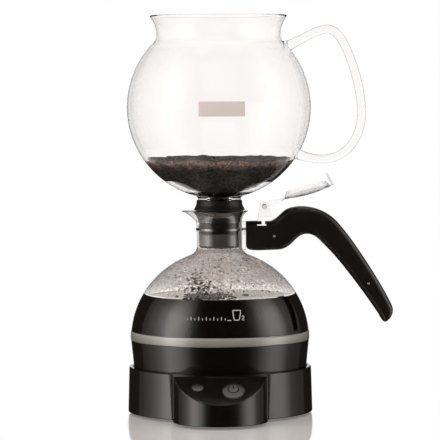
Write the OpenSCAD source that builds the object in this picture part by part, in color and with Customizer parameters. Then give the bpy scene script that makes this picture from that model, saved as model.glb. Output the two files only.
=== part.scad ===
// Electric vacuum coffee brewer: powered base, heated glass carafe, glass brewing jug and hinged lid.
// Millimetres. The origin is on the brewer's axis at table level, +Z up.
// The handles point towards +X and the controls towards -Y.

/* [Base] */
// Radius of the base at its lower edge
base_low_r = 80; // [78:0.5:84]
// Radius of the base at its upper edge
base_top_r = 79; // [77:0.5:80]
// Height of the base's upper edge above the table
base_top = 41; // [39:0.5:44]
// Gap between the base's lower edge and the table
foot_gap = 2.3; // [1:0.1:3]
// Wall thickness of the moulded base
base_wall = 2.5; // [2:0.1:3]
// Height of the deck that the carafe stands on
deck_z = 33; // [32:0.5:34]
// Radius of the control nose at the front
nose_r = 40; // [36:0.5:42]
// Distance from the brewer's axis to the nose's own axis
nose_out = 79; // [76:0.5:82]
// Radius of the hollow corners between the base and the nose
nose_corner = 10; // [6:0.5:14]
// Slope of the control panel from the horizontal
panel_tilt = 33; // [28:0.5:36]
// Distance from the brewer's axis to the top of the sloping panel
panel_out = 87; // [85:0.5:90]

/* [Controls] */
// Radius of the power button
button_r = 9; // [7:0.1:10]
// Sideways place of the button on the panel
button_x = 10.9; // [8:0.1:14]
// Distance of the button down the panel
button_down = 19.6; // [14:0.1:20]
// Travel of the button
button_travel = 1.2; // [0.8:0.1:1.3]
// Radius of the indicator lens
lens_r = 4.7; // [3:0.1:5]
// Sideways place of the lens on the panel
lens_x = -18.8; // [-22:0.1:-16]
// Distance of the lens down the panel
lens_down = 14.3; // [12:0.1:18]

/* [Carafe] */
// Outer radius of the carafe's globe
globe_r = 77.3; // [75:0.1:79]
// Height of the globe's centre
globe_z = 64.4; // [62:0.1:66]
// Thickness of the carafe's glass
glass_wall = 2; // [1.5:0.1:2.2]
// Outer radius of the carafe's neck
neck_r = 19.5; // [19:0.1:21]
// Height of the carafe's mouth
mouth_z = 176; // [174:0.1:177]
// Height of the seal ring's lower edge
ring_z = 64; // [63:0.5:65]
// Height of the seal ring
ring_h = 8; // [7:0.5:9]
// Level of the coffee in the carafe
coffee_z = 102.7; // [80:0.1:130]
// Width of the carafe handle across its two shells
handle_w = 22; // [20:0.5:26]

/* [Lid] */
// Distance from the brewer's axis to the lid's hinge
hinge_x = 39.2; // [37:0.1:40]
// Height of the lid's hinge
hinge_z = 179.1; // [178:0.1:180]
// Slope of the open lid above the horizontal
lid_open = 15.5; // [14:0.5:18]
// Radius of the lid's disc
lid_r = 23.9; // [22:0.1:24]

/* [Jug] */
// Outer radius of the brewing jug's bowl
bowl_r = 79.5; // [77:0.1:81]
// Height of the bowl's centre
bowl_z = 265.5; // [264:0.1:267]
// Outer radius of the jug at its waist below the rim
waist_r = 53.6; // [52:0.1:56]
// Height of the jug's rim
rim_z = 345; // [342:0.1:346]
// Outer radius of the stem
stem_r = 10.8; // [9.5:0.1:10.8]
// Height of the stem's lower end
stem_end = 76; // [74:0.5:90]
// Radius of the jug's glass handle
rod_r = 3.7; // [3.2:0.1:4]
// Level of the ground coffee in the jug
grounds_z = 220.6; // [210:0.1:224]
// Turns of the filter's spring
spring_turns = 18; // [10:1:24]

/* [Hidden] */
$fn = 96;
wide = 400;
over = 1;
gap = 0.3;
seat = 0.1;

// Colours
black = [0.05, 0.05, 0.05];
rubber = [0.09, 0.09, 0.09];
steel = [0.75, 0.75, 0.75];
brass = [0.72, 0.58, 0.28];
clear = [0.85, 0.9, 0.92, 0.4];
silicone = [0.78, 0.82, 0.8];
coffee = [0.08, 0.04, 0.02];

// Base
base_inner_r = base_top_r - base_wall + 0.5;
recess_r = base_top_r - 3.3;
rim_round = 1.2;
corner_y = (pow(nose_r + nose_corner, 2) - pow(base_top_r + nose_corner, 2) - pow(nose_out, 2))
  / (2 * nose_out);
corner_x = sqrt(pow(base_top_r + nose_corner, 2) - pow(corner_y, 2));
cover_top = foot_gap + base_wall;
foot_in = 58;
foot_out = 66;
foot_deep = 1;
boss_at = 37;
boss_r = 4.5;
screw_r = 1.4;
screw_head_r = 3;
screw_head_h = 1.5;
connector_r = 16;
post_r = 12;
post_top = 46.5;
gland_z = 12;
gland_flat = base_low_r - 1.2;
cord_r = 3.6;
gland_r = 5.5;
gland_flange_r = 7.5;
gland_flange_t = 2.5;
gland_barb_r = 6.3;
gland_pad = 18;
connector_flange_r = connector_r + 3;
connector_flange_t = 3.5;
post_chamfer = 3;
guide_r = 2.2;
contact_t = 2;
contact_at = [deck_z + 2.5, deck_z + 6.5];

// Control panel, measured along its own slope and normal
board_face = -12;
board_t = 1.6;
board_low = 26;
board_high = 4;
board_left = -26;
board_right = 22;
board_post_x = -8;
board_posts = [8, 23];
board_post_r = 2.4;
board_screw_r = 1;
board_screw_head_r = 2;
board_screw_head_h = 1.2;
panel_deep = 14;
button_flange_r = 10.8;
button_pocket_r = 11.6;
switch_body_h = 2.8;
switch_nub_h = 0.8;
plunger_end = board_face + switch_body_h + switch_nub_h + button_travel + 0.2;
switch_half = 3;
switch_nub_r = 1.75;
button_rise = 1.3;
button_dome_r = 45;
button_face_r = 6.3;
button_groove = 0.7;
led_r = 2.5;
led_foot_h = 1;
led_body_h = 3;
lens_flange_r = lens_r + 1.2;
lens_flange_t = 1.2;
lens_bulge_r = 12;

// Carafe
globe_in = globe_r - glass_wall;
neck_in = neck_r - glass_wall;
neck_round = 9;
neck_round_x = neck_r + neck_round;
neck_round_z = globe_z + sqrt(pow(globe_r + neck_round, 2) - pow(neck_round_x, 2));
flare_round = 11;
flare_z = mouth_z - 10;
flare_x = neck_r + flare_round;
ring_top = ring_z + ring_h;
ring_r = globe_r + 0.3;
ring_in = 72.5;
plate_z = ring_z + 2.6;
plate_t = 1.3;
plate_r = 74;
spreader_t = 1.9;
spreader_r = 64;
element_r = 46;
element_tube_r = 4.2;
cup_r = globe_r - 0.1;
cup_foot_r = 66.9;
cup_round = 8;
cup_wall = 2.5;
socket_r = 20.8;
socket_flange_r = 26;
cup_screw_at = 58;
socket_screw_at = 23.4;
band_low = 158.9;
band_high = 160.6;
band_t = 0.8;
saddle_half = 10.4;
saddle_low = 142;
saddle_high = 166;
saddle_back = 22.8;

// Carafe handle: each span is its upper edge and its lower edge, as curves in X and Z
handle_spans = [
  [[[22.9, 166.4], [30, 166.5], [37, 166.6], [44, 166.8]],
   [[22.9, 145.8], [22.9, 140.6], [30, 141.2], [50, 142]]],
  [[[44, 166.8], [50, 166.8], [54.6, 176.8], [62.3, 178]],
   [[50, 142], [56, 142.2], [59.8, 144.9], [63.1, 148.1]]],
  [[[62.3, 178], [67.3, 179.4], [74.6, 179.7], [82.4, 177.5]],
   [[63.1, 148.1], [67.2, 152.1], [70, 155.6], [76, 155.6]]],
  [[[82.4, 177.5], [90.3, 175.3], [98.5, 170.8], [104.7, 162.7]],
   [[76, 155.6], [82.3, 155.6], [86.2, 150.7], [93.7, 143]]],
  [[[104.7, 162.7], [115.3, 151.1], [139.9, 113.2], [148.9, 93.8]],
   [[93.7, 143], [105.7, 131.2], [127.6, 100.8], [138.1, 84.8]]],
  [[[148.9, 93.8], [150.8, 89.7], [150.2, 85.8], [147.9, 82.9]],
   [[138.1, 84.8], [139.2, 83], [140.3, 78.9], [143.8, 79]]]
];
handle_steps = 7;
handle_corner = 5;
handle_wall = 3;
handle_screw_at = [[47.4, 153.9], [128.8, 112.5]];
handle_post_r = 3.6;
handle_head_r = 1.6;
handle_shank_r = 1.2;
screw_end = 9;
ear_gap = 0.8;
ear_middle = ear_gap + band_t / 2;
ear_low = 154.8;
foot_bar = [32.6, 40.6, 163.2, 164.2];
foot_stem = [36.5, 39.4];
bracket_half = 8;
bracket_round = 4.2;
cheek_in = 5;
knuckle_half = 4.7;
knuckle_r = 3.8;
pin_r = 1.5;
pin_play = 0.05;

// Lid, measured from its hinge with the disc along +X
lid_reach = hinge_x;
lid_plane = hinge_z - mouth_z - 0.5;
lid_sag = 2.8;
lid_dome_r = (lid_r * lid_r + lid_sag * lid_sag) / (2 * lid_sag);
lid_wall = 2;
dome_steps = 600;
skirt_top_r = 20.6;
skirt_end_r = 17.6;
skirt_h = 4.6;
tab_h = 11;
tab_half = 6;

// Jug
bowl_in = bowl_r - glass_wall;
waist_low_round = 8;
waist_low_x = waist_r + waist_low_round;
waist_z = bowl_z + sqrt(pow(bowl_r + waist_low_round, 2) - pow(waist_low_x, 2));
waist_high_round = 26.5;
waist_high_x = waist_r + waist_high_round;
bead_r = 1.25;
bead_z = rim_z - bead_r;
bead_x = waist_high_x - (sqrt(pow(waist_high_round, 2) - pow(bead_z - waist_z, 2))
  + sqrt(pow(waist_high_round + glass_wall, 2) - pow(bead_z - waist_z, 2))) / 2;
floor_z = 194;
bowl_neck_r = 18.6;
bowl_neck_round = 3;
bowl_neck_x = bowl_neck_r + bowl_neck_round;
bowl_neck_z = bowl_z - sqrt(pow(bowl_r + bowl_neck_round, 2) - pow(bowl_neck_x, 2));
shoulder_z = 185.2;
stub_r = 14;
stub_low = 172;
stem_top = 166;
stem_in = stem_r - 1.8;
collar_low_r = 22;
collar_top_r = 19.5;
sleeve_low = 143.7;
sleeve_r = 16.6;
rib_low = 156;
rib_r = neck_in - gap;
rib_groove_r = 15.6;
filter_r = 24;
filter_h = 3.4;
spring_r = 3;
wire_r = 0.6;
wire_sides = 6;
turn_rings = 8;
spring_top = floor_z - 1.7;
spring_low = stem_end + 5;
spring_rings = turn_rings * spring_turns;
hook_r = 0.9;

// Jug handle: the centre line of the glass rod, as curves in X and Z
rod_spans = [
  [[56, 316.5], [68, 321], [82, 331], [93, 332.4]],
  [[93, 332.4], [101, 333], [107, 325], [112.8, 310]],
  [[112.8, 310], [118.5, 296], [123.3, 277], [123.5, 260.8]],
  [[123.5, 260.8], [123.8, 241], [113, 224.5], [97, 221]],
  [[97, 221], [87, 218.3], [75, 221.5], [64, 226]]
];
rod_steps = 6;
rod_sides = 12;
weld_flare = 2.6;
weld_reach = 1.5;

// A point on a cubic curve
function cubic(c, t) =
  pow(1 - t, 3) * c[0] + 3 * t * pow(1 - t, 2) * c[1] + 3 * t * t * (1 - t) * c[2] + pow(t, 3) * c[3];

// The curve's direction at a point, of unit length
function cubic_way(c, t) =
  let (d = pow(1 - t, 2) * (c[1] - c[0]) + 2 * t * (1 - t) * (c[2] - c[1]) + t * t * (c[3] - c[2]))
  d / norm(d);

// Places along a chain of spans, each as its span and the share of it
function stations(spans, steps) =
  concat([for (s = [0:len(spans) - 1]) for (i = [0:steps - 1]) [s, i / steps]], [[len(spans) - 1, 1]]);

// The point where a circle around a centre touches a rounding outside it
function touch(radius, center_z, round_x, round_z, round_r) =
  [0, center_z] + radius / (radius + round_r) * [round_x, round_z - center_z];

// A solid through rings of points, each ring with the same number of points
module loft(rings) {
  n = len(rings[0]);
  last = len(rings) - 1;
  sides = [for (i = [0:last - 1]) for (j = [0:n - 1]) let (a = i * n + j, b = i * n + (j + 1) % n)
    each [[a, b, a + n], [b, b + n, a + n]]];
  caps = [[for (j = [n - 1:-1:0]) j], [for (j = [0:n - 1]) last * n + j]];
  polyhedron([for (ring = rings) each ring], concat(sides, caps));
}

// A ring of the given radius around a point, square to a direction, starting towards a second direction
function hoop(center, way, side, radius, sides) =
  let (u = side - (side * way) * way, u1 = u / norm(u), v = cross(way, u1))
  [for (k = [0:sides - 1]) center + radius * (cos(360 * k / sides) * u1 + sin(360 * k / sides) * v)];

// Places children on the control panel: x sideways, down along the slope, +Z out of the panel
module on_panel(x, down) {
  translate([x, -panel_out, base_top]) rotate([panel_tilt, 0, 0]) translate([0, -down, 0]) children();
}

// Children at equal steps around the brewer's axis
module around(count, radius, turn = 0) {
  for (i = [0:count - 1]) rotate(turn + i * 360 / count) translate([radius, 0, 0]) children();
}

// Children at the base's four screw places
module at_bosses() {
  for (x = [-boss_at, boss_at]) for (y = [-boss_at, boss_at]) translate([x, y, 0]) children();
}

// A cylinder along Y between two places
module along_y(x, z, from, to, r) {
  translate([x, from, z]) rotate([-90, 0, 0]) cylinder(h = to - from, r = r);
}

// An outline in X and Z, drawn out along Y between two places
module slab(from, to) {
  translate([0, to, 0]) rotate([90, 0, 0]) linear_extrude(to - from) children();
}

// Base and nose as one plan, drawn up between two heights
module plan(main_r, front_r, low, high) {
  translate([0, 0, low]) cylinder(h = high - low, r = main_r);
  translate([0, -nose_out, low]) cylinder(h = high - low, r = front_r);
}

// One hollow corner between base and nose, tangent to both, on the +X side
module nose_side() {
  nose_at = [0, -nose_out];
  middle = [corner_x, corner_y];
  on_base = middle * base_top_r / (base_top_r + nose_corner);
  on_nose = nose_at + (middle - nose_at) * nose_r / (nose_r + nose_corner);
  translate([0, 0, foot_gap]) linear_extrude(base_top - foot_gap) difference() {
    polygon([middle, on_base, [on_nose.x - 5, on_nose.y + 5], on_nose]);
    translate(middle) circle(nose_corner);
  }
}

module base_body() {
  rotate_extrude() {
    polygon([[0, foot_gap], [base_low_r, foot_gap], [base_top_r, base_top - rim_round],
      [base_top_r - rim_round, base_top], [0, base_top]]);
    translate([base_top_r - rim_round, base_top - rim_round]) circle(rim_round);
  }
  difference() {
    translate([0, -nose_out, foot_gap]) cylinder(h = base_top - foot_gap, r = nose_r);
    on_panel(0, 0) translate([-2 * nose_r, -2 * nose_r, 0]) cube([4 * nose_r, 2 * nose_r, 2 * nose_r]);
  }
  nose_side();
  mirror([1, 0, 0]) nose_side();
}

module base_cavity() {
  intersection() {
    plan(base_inner_r, nose_r - base_wall, -over, deck_z - base_wall);
    on_panel(0, 0) translate([-wide / 2, -wide / 2, -wide / 2 - base_wall])
      cube([wide, wide, wide / 2]);
  }
}

// Hole through the panel, with a wider pocket behind it
module panel_hole(hole_r, pocket_r) {
  translate([0, 0, -panel_deep]) cylinder(h = 2 * panel_deep, r = hole_r);
  translate([0, 0, -panel_deep - base_wall]) cylinder(h = panel_deep, r = pocket_r);
}

module base_shell() {
  boss_deep = 20;
  color(black) {
    difference() {
      base_body();
      translate([0, 0, deck_z]) cylinder(h = base_top, r = recess_r);
      base_cavity();
      cylinder(h = base_top, r = connector_r + gap);
      on_panel(button_x, button_down) panel_hole(button_r + gap, button_pocket_r);
      on_panel(lens_x, lens_down) panel_hole(lens_r + seat, lens_flange_r + 0.4);
      along_y(0, gland_z, recess_r - 4, base_low_r + over, gland_r + seat);
      translate([-gland_pad / 2, gland_flat, gland_z - gland_pad / 2])
        cube([gland_pad, gland_pad / 2, gland_pad]);
    }
    difference() {
      at_bosses() translate([0, 0, cover_top])
        cylinder(h = deck_z - base_wall - cover_top + 0.5, r = boss_r);
      at_bosses() cylinder(h = boss_deep, r = screw_r + 0.05);
    }
    for (down = board_posts) on_panel(board_post_x, down) difference() {
      translate([0, 0, board_face]) cylinder(h = -board_face - base_wall + 0.5, r = board_post_r);
      translate([0, 0, board_face - over]) cylinder(h = 6, r = board_screw_r);
    }
  }
}

module base_cover() {
  color(black) difference() {
    plan(base_inner_r - gap, nose_r - base_wall - gap, foot_gap, cover_top);
    translate([0, 0, foot_gap - over]) difference() {
      cylinder(h = over + foot_deep, r = foot_out + seat);
      translate([0, 0, -over]) cylinder(h = 3 * over + foot_deep, r = foot_in - seat);
    }
    at_bosses() cylinder(h = 10, r = screw_r + 0.2);
    at_bosses() cylinder(h = foot_gap + screw_head_h, r = screw_head_r + 0.3);
  }
}

module foot_ring() {
  color(rubber) rotate_extrude() translate([foot_in, 0])
    square([foot_out - foot_in, foot_gap + foot_deep]);
}

module base_screws() {
  color(steel) at_bosses() {
    translate([0, 0, foot_gap]) cylinder(h = screw_head_h, r = screw_head_r);
    translate([0, 0, foot_gap + screw_head_h]) cylinder(h = 12, r = screw_r);
  }
}

module control_board() {
  color("darkgreen") on_panel(0, 0) difference() {
    translate([board_left, -board_low, board_face - board_t])
      cube([board_right - board_left, board_low - board_high, board_t]);
    for (down = board_posts) translate([board_post_x, -down, board_face - 5])
      cylinder(h = 10, r = board_screw_r + seat);
  }
}

module tact_switch() {
  color("dimgray") on_panel(button_x, button_down) {
    translate([-switch_half, -switch_half, board_face])
      cube([2 * switch_half, 2 * switch_half, switch_body_h]);
    translate([0, 0, board_face + switch_body_h]) cylinder(h = switch_nub_h, r = switch_nub_r);
  }
}

module indicator_led() {
  color("orange") on_panel(lens_x, lens_down) {
    translate([0, 0, board_face]) cylinder(h = led_foot_h, r = led_r + 0.4);
    translate([0, 0, board_face + led_foot_h]) cylinder(h = led_body_h, r = led_r);
    translate([0, 0, board_face + led_foot_h + led_body_h]) intersection() {
      sphere(led_r);
      translate([0, 0, led_r]) cube(2 * led_r, center = true);
    }
  }
}

module board_screws() {
  color(steel) for (down = board_posts)
    on_panel(board_post_x, down) translate([0, 0, board_face - board_t]) {
      translate([0, 0, -board_screw_head_h]) cylinder(h = board_screw_head_h, r = board_screw_head_r);
      cylinder(h = 5.5, r = board_screw_r - 0.05);
    }
}

module indicator_lens() {
  lens_drop = sqrt(pow(lens_bulge_r, 2) - pow(lens_r, 2));
  color(clear) on_panel(lens_x, lens_down) {
    translate([0, 0, -base_wall - lens_flange_t]) cylinder(h = lens_flange_t, r = lens_flange_r);
    translate([0, 0, -base_wall - 0.1]) cylinder(h = base_wall + 0.4, r = lens_r);
    translate([0, 0, 0.3]) intersection() {
      translate([0, 0, -lens_drop]) sphere(lens_bulge_r);
      cylinder(h = lens_r, r = lens_r);
    }
  }
}

module power_button() {
  dome_drop = sqrt(pow(button_dome_r, 2) - pow(button_r, 2));
  color(black) on_panel(button_x, button_down) {
    translate([0, 0, -base_wall - 1.8]) cylinder(h = 1.6, r = button_flange_r);
    difference() {
      union() {
        translate([0, 0, -base_wall - 0.3]) cylinder(h = base_wall + 0.3 + button_rise, r = button_r);
        translate([0, 0, button_rise]) intersection() {
          translate([0, 0, -dome_drop]) sphere(button_dome_r);
          cylinder(h = button_r, r = button_r);
        }
      }
      translate([0, 0, button_rise]) difference() {
        cylinder(h = button_r, r = button_face_r + button_groove);
        translate([0, 0, -over]) cylinder(h = button_r + 2 * over, r = button_face_r);
      }
    }
    translate([0, 0, plunger_end]) cylinder(h = 3, r = 2.5);
  }
}

module base_connector() {
  color(black) difference() {
    union() {
      translate([0, 0, deck_z - base_wall - connector_flange_t])
        cylinder(h = connector_flange_t, r = connector_flange_r);
      translate([0, 0, deck_z - base_wall]) cylinder(h = base_wall, r = connector_r);
      translate([0, 0, deck_z]) cylinder(h = post_top - post_chamfer - deck_z, r = post_r);
      translate([0, 0, post_top - post_chamfer])
        cylinder(h = post_chamfer, r1 = post_r, r2 = post_r - post_chamfer);
    }
    contact_rings(4);
    translate([0, 0, post_top - 10]) cylinder(h = 20, r = guide_r);
  }
}

// Two contact rings on the connector post, standing out of it by the given reach
module contact_rings(reach) {
  for (z = contact_at) translate([0, 0, z]) difference() {
    cylinder(h = contact_t, r = post_r + reach);
    translate([0, 0, -over]) cylinder(h = contact_t + 2 * over, r = post_r - 1.2);
  }
}

module connector_contacts() {
  color(brass) contact_rings(0.1);
}

module cord_gland() {
  color(rubber) translate([0, gland_flat, gland_z]) rotate([-90, 0, 0]) difference() {
    union() {
      cylinder(h = gland_flange_t, r = gland_flange_r);
      translate([0, 0, -4.5]) cylinder(h = 4.6, r = gland_r);
      translate([0, 0, -6]) cylinder(h = 1.6, r1 = gland_r, r2 = gland_barb_r);
    }
    translate([0, 0, -10]) cylinder(h = 20, r = cord_r);
  }
}

// Half section of the globe, its neck and its flared mouth, at a given depth into the glass
module globe_section(inset) {
  radius = globe_r - inset;
  meet_in = touch(radius, globe_z, neck_round_x, neck_round_z, neck_round + inset);
  low = ring_top - (inset > 0 ? over : 0);
  high = mouth_z + (inset > 0 ? over : 0);
  intersection() {
    translate([0, globe_z]) circle(radius);
    translate([0, low]) square([2 * globe_r, meet_in.y - low]);
  }
  difference() {
    polygon([[0, meet_in.y - 0.5],
      [meet_in.x - 1, meet_in.y - 0.5], meet_in, [neck_round_x, neck_round_z],
      [0, neck_round_z]]);
    translate([neck_round_x, neck_round_z]) circle(neck_round + inset);
  }
  translate([0, neck_round_z - 0.5]) square([neck_r - inset, flare_z - neck_round_z + 1]);
  difference() {
    translate([0, flare_z]) square([flare_x - inset - 2, high - flare_z]);
    translate([flare_x, flare_z]) circle(flare_round + inset);
  }
}

// Pouring lip towards -X: a leaning cone that runs out of the neck, at a given depth into the glass
module lip(inset) {
  start = [-7, 0, 160];
  end = [-31, 0, 177.5];
  run = end - start;
  intersection() {
    translate(start) rotate([0, -acos(run.z / norm(run)), 0])
      cylinder(h = norm(run) + 8, r1 = 10.5 - inset, r2 = 5 - inset);
    translate([-40, -20, band_high + 1])
      cube([60, 40, mouth_z - band_high - 1 + (inset > 0 ? over : 0)]);
  }
}

module carafe_glass() {
  color(clear) difference() {
    union() {
      rotate_extrude() globe_section(0);
      lip(0);
    }
    rotate_extrude() globe_section(glass_wall);
    lip(glass_wall);
  }
}

module seal_ring() {
  round = 1;
  color(silicone) rotate_extrude() difference() {
    union() {
      translate([ring_in, ring_z]) square([ring_r - round - ring_in, ring_h]);
      translate([ring_in, ring_z + round]) square([ring_r - ring_in, ring_h - 2 * round]);
      for (z = [ring_z + round, ring_top - round]) translate([ring_r - round, z]) circle(round);
    }
    translate([ring_in - over, plate_z - seat])
      square([plate_r + seat - ring_in + over, plate_t + 2 * seat]);
  }
}

module heating_plate() {
  color(steel) translate([0, 0, plate_z]) cylinder(h = plate_t, r = plate_r);
}

module heat_spreader() {
  color("silver") difference() {
    union() {
      translate([0, 0, plate_z - spreader_t]) cylinder(h = spreader_t, r = spreader_r);
      around(3, cup_screw_at) translate([0, 0, 52])
        cylinder(h = plate_z - spreader_t - 52 + 0.2, r = 3.4);
    }
    around(3, cup_screw_at) translate([0, 0, 50]) cylinder(h = 11, r = screw_r + 0.1);
  }
}

module heating_element() {
  element_z = plate_z - spreader_t - element_tube_r - seat;
  sweep = 290;
  pin_turn = 5;
  pin_h = 9;
  pin_half = 2.2;
  color("dimgray") rotate(90 - sweep / 2) {
    translate([0, 0, element_z]) rotate_extrude(angle = sweep) translate([element_r, 0])
      circle(element_tube_r);
    for (turn = [pin_turn, sweep - pin_turn]) rotate(turn) translate([element_r, 0, element_z - pin_h])
      cylinder(h = pin_h, r = pin_half);
  }
}

module thermostat() {
  top = plate_z - spreader_t - seat;
  color("wheat") {
    translate([0, 0, top - 7]) cylinder(h = 7, r = 9);
    for (x = [-5, 5]) translate([x - 0.4, -3, top - 12]) cube([0.8, 6, 6]);
  }
}

// Half section of the heater cup, at a given depth into its wall
module cup_section(inset) {
  top_r = cup_r - inset;
  side_r = cup_foot_r + cup_round - inset;
  low = deck_z + inset;
  high = ring_z + (inset > 0 ? over : 0);
  translate([0, low]) square([cup_foot_r, cup_round]);
  intersection() {
    translate([cup_foot_r, deck_z + cup_round]) circle(cup_round - inset);
    translate([cup_foot_r - 1, low]) square([cup_round + 1, cup_round - inset]);
  }
  polygon([[0, deck_z + cup_round], [side_r, deck_z + cup_round], [top_r, ring_z], [top_r, high],
    [0, high]]);
}

module heater_cup() {
  color(black) difference() {
    rotate_extrude() difference() {
      cup_section(0);
      cup_section(cup_wall);
    }
    translate([0, 0, deck_z - over]) cylinder(h = 10, r = socket_r + gap);
    around(3, cup_screw_at) translate([0, 0, deck_z - over]) cylinder(h = 10, r = screw_r + 0.2);
    around(3, cup_screw_at) translate([0, 0, deck_z - over])
      cylinder(h = over + screw_head_h, r = screw_head_r);
    around(3, socket_screw_at, 60) translate([0, 0, deck_z + 0.8]) cylinder(h = 10, r = 1.25);
  }
}

module cup_screws() {
  color(steel) around(3, cup_screw_at) {
    translate([0, 0, deck_z + 0.2]) cylinder(h = screw_head_h - 0.2, r = screw_head_r - 0.2);
    translate([0, 0, deck_z + screw_head_h]) cylinder(h = 25, r = screw_r);
  }
}

module carafe_socket() {
  floor_in = deck_z + cup_wall;
  color(black) difference() {
    union() {
      translate([0, 0, deck_z + gap]) cylinder(h = 19, r = socket_r);
      translate([0, 0, floor_in]) cylinder(h = 2.5, r = socket_flange_r);
    }
    translate([0, 0, deck_z - over]) cylinder(h = 16.5, r = post_r + 1);
    around(3, socket_screw_at, 60) translate([0, 0, floor_in - over]) cylinder(h = 10, r = 1.35);
  }
}

module socket_screws() {
  flange_top = deck_z + cup_wall + 2.5;
  color(steel) around(3, socket_screw_at, 60) {
    translate([0, 0, flange_top]) cylinder(h = 1.8, r = 2.2);
    translate([0, 0, deck_z + 1]) cylinder(h = flange_top - deck_z - 1, r = 1.2);
  }
}

// Ear of the neck band, in X and Z
module ear_outline() {
  polygon([[neck_r + 0.4, band_low], [neck_r + 0.4, band_high], [27, band_high], [29.5, 158.8],
    [53, 158.8],
    [53, 149.5], [42, 149.5], [30, 155.6], [25, band_low]]);
}

module neck_band() {
  color(steel) difference() {
    union() {
      translate([0, 0, band_low]) difference() {
        cylinder(h = band_high - band_low, r = neck_r + seat + band_t);
        translate([0, 0, -over]) cylinder(h = 10, r = neck_r + seat);
        translate([0, -ear_gap, -over]) cube([40, 2 * ear_gap, 10]);
      }
      for (side = [-1, 1])
        slab(side * ear_middle - band_t / 2, side * ear_middle + band_t / 2) ear_outline();
    }
    translate([0, 0, band_low - 20]) cylinder(h = 40, r = neck_r + seat);
    along_y(handle_screw_at[0].x, handle_screw_at[0].y, -5, 5, 1.6);
  }
}

module neck_saddle() {
  round = 3;
  left = 13.5;
  color(clear) difference() {
    slab(-saddle_half, saddle_half) {
      translate([left + round, saddle_low])
        square([saddle_back - left - round, saddle_high - saddle_low]);
      translate([left, saddle_low + round])
        square([saddle_back - left, saddle_high - saddle_low - 2 * round]);
      for (z = [saddle_low + round, saddle_high - round]) translate([left + round, z]) circle(round);
    }
    rotate_extrude() globe_section(-seat);
    translate([0, 0, band_low - gap])
      cylinder(h = band_high - band_low + 2 * gap, r = neck_r + band_t + 0.4);
    translate([neck_r - 5, -2, ear_low]) cube([20, 4, band_high + gap - ear_low]);
  }
}

// Half section of the handle between an upper and a lower point, on the +Y side
function handle_ring(top, bottom, inset, width, from) =
  let (up = (top - bottom) / norm(top - bottom), mid = (top + bottom) / 2,
    half = norm(top - bottom) / 2 - inset, r = min(handle_corner - inset / 2, 0.85 * half))
  [for (p = concat([[from, half]],
    [for (a = [90:-30:0]) [width - r + r * cos(a), half - r + r * sin(a)]],
    [for (a = [0:-30:-90]) [width - r + r * cos(a), r - half + r * sin(a)]], [[from, -half]]))
    [mid.x + up.x * p.y, p.x, mid.y + up.y * p.y]];

// One side of the handle between two stations, at a given depth into its wall
module handle_loft(first, last, inset, from) {
  places = stations(handle_spans, handle_steps);
  loft([for (i = [first:last]) let (place = places[i], span = handle_spans[place[0]])
    handle_ring(cubic(span[0], place[1]), cubic(span[1], place[1]), inset, handle_w / 2 - inset,
      from)]);
}

// Handle shell on the -Y side: hollow, with a screw post at each end
// and a block around the bracket's foot
module handle_half() {
  final = handle_steps * len(handle_spans);
  mirror([0, 1, 0]) difference() {
    union() {
      difference() {
        handle_loft(0, final, 0, 0);
        handle_loft(1, final - 3, handle_wall, -over);
      }
      intersection() {
        handle_loft(0, final, 0, 0);
        union() {
          along_y(handle_screw_at[0].x, handle_screw_at[0].y, ear_gap + band_t + seat, handle_w,
            handle_post_r);
          along_y(handle_screw_at[1].x, handle_screw_at[1].y, 0, handle_w, handle_post_r);
          translate([foot_bar[0] - 2.6, 0, foot_bar[2] - 2.4])
            cube([foot_bar[1] - foot_bar[0] + 5.2, handle_w, 10]);
        }
      }
    }
    translate([foot_bar[0] - seat, -over, foot_bar[2] - seat])
      cube([foot_bar[1] - foot_bar[0] + 2 * seat, handle_w, foot_bar[3] - foot_bar[2] + 2 * seat]);
    translate([foot_stem[0] - seat, -over, foot_bar[2]])
      cube([foot_stem[1] - foot_stem[0] + 2 * seat, handle_w, 12]);
    translate([20, -over, ear_low]) cube([12, over + 2, band_high + gap - ear_low]);
  }
}

module handle_front() {
  color(black) difference() {
    handle_half();
    for (at = handle_screw_at) {
      along_y(at.x, at.y, -handle_w, over, handle_shank_r + seat);
      along_y(at.x, at.y, -handle_w, -handle_w / 2 + 1.4, handle_head_r + seat);
    }
  }
}

module handle_back() {
  color(black) mirror([0, 1, 0]) difference() {
    handle_half();
    for (at = handle_screw_at) along_y(at.x, at.y, -screw_end - seat, over, handle_shank_r + 0.05);
  }
}

module handle_screws() {
  color(steel) for (at = handle_screw_at) {
    along_y(at.x, at.y, -handle_w / 2 + 0.1, -handle_w / 2 + 1.4, handle_head_r);
    along_y(at.x, at.y, -handle_w / 2 + 1.4, screw_end, handle_shank_r);
  }
}

module lid_bracket() {
  low = 167.1;
  saddle_top = 170.5;
  foot = [[33.1, low], [44.2, low], [46.6, low + 1.2]];
  color(clear) difference() {
    union() {
      slab(-bracket_half, bracket_half)
        polygon(concat(foot, [[45.2, saddle_top], [34, saddle_top]]));
      for (side = [-1, 1])
        slab(side > 0 ? cheek_in : -bracket_half, side > 0 ? bracket_half : -cheek_in) {
        polygon(concat(foot, [[hinge_x + bracket_round, hinge_z], [hinge_x - bracket_round, hinge_z]]));
        translate([hinge_x, hinge_z]) circle(bracket_round);
      }
      slab(-handle_w / 2 + 0.3, handle_w / 2 - 0.3) {
        translate([foot_stem[0], foot_bar[2]])
          square([foot_stem[1] - foot_stem[0], low + 1 - foot_bar[2]]);
        translate([foot_bar[0], foot_bar[2]])
          square([foot_bar[1] - foot_bar[0], foot_bar[3] - foot_bar[2]]);
      }
    }
    along_y(hinge_x, hinge_z, -20, 20, pin_r + 0.02);
  }
}

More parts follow.
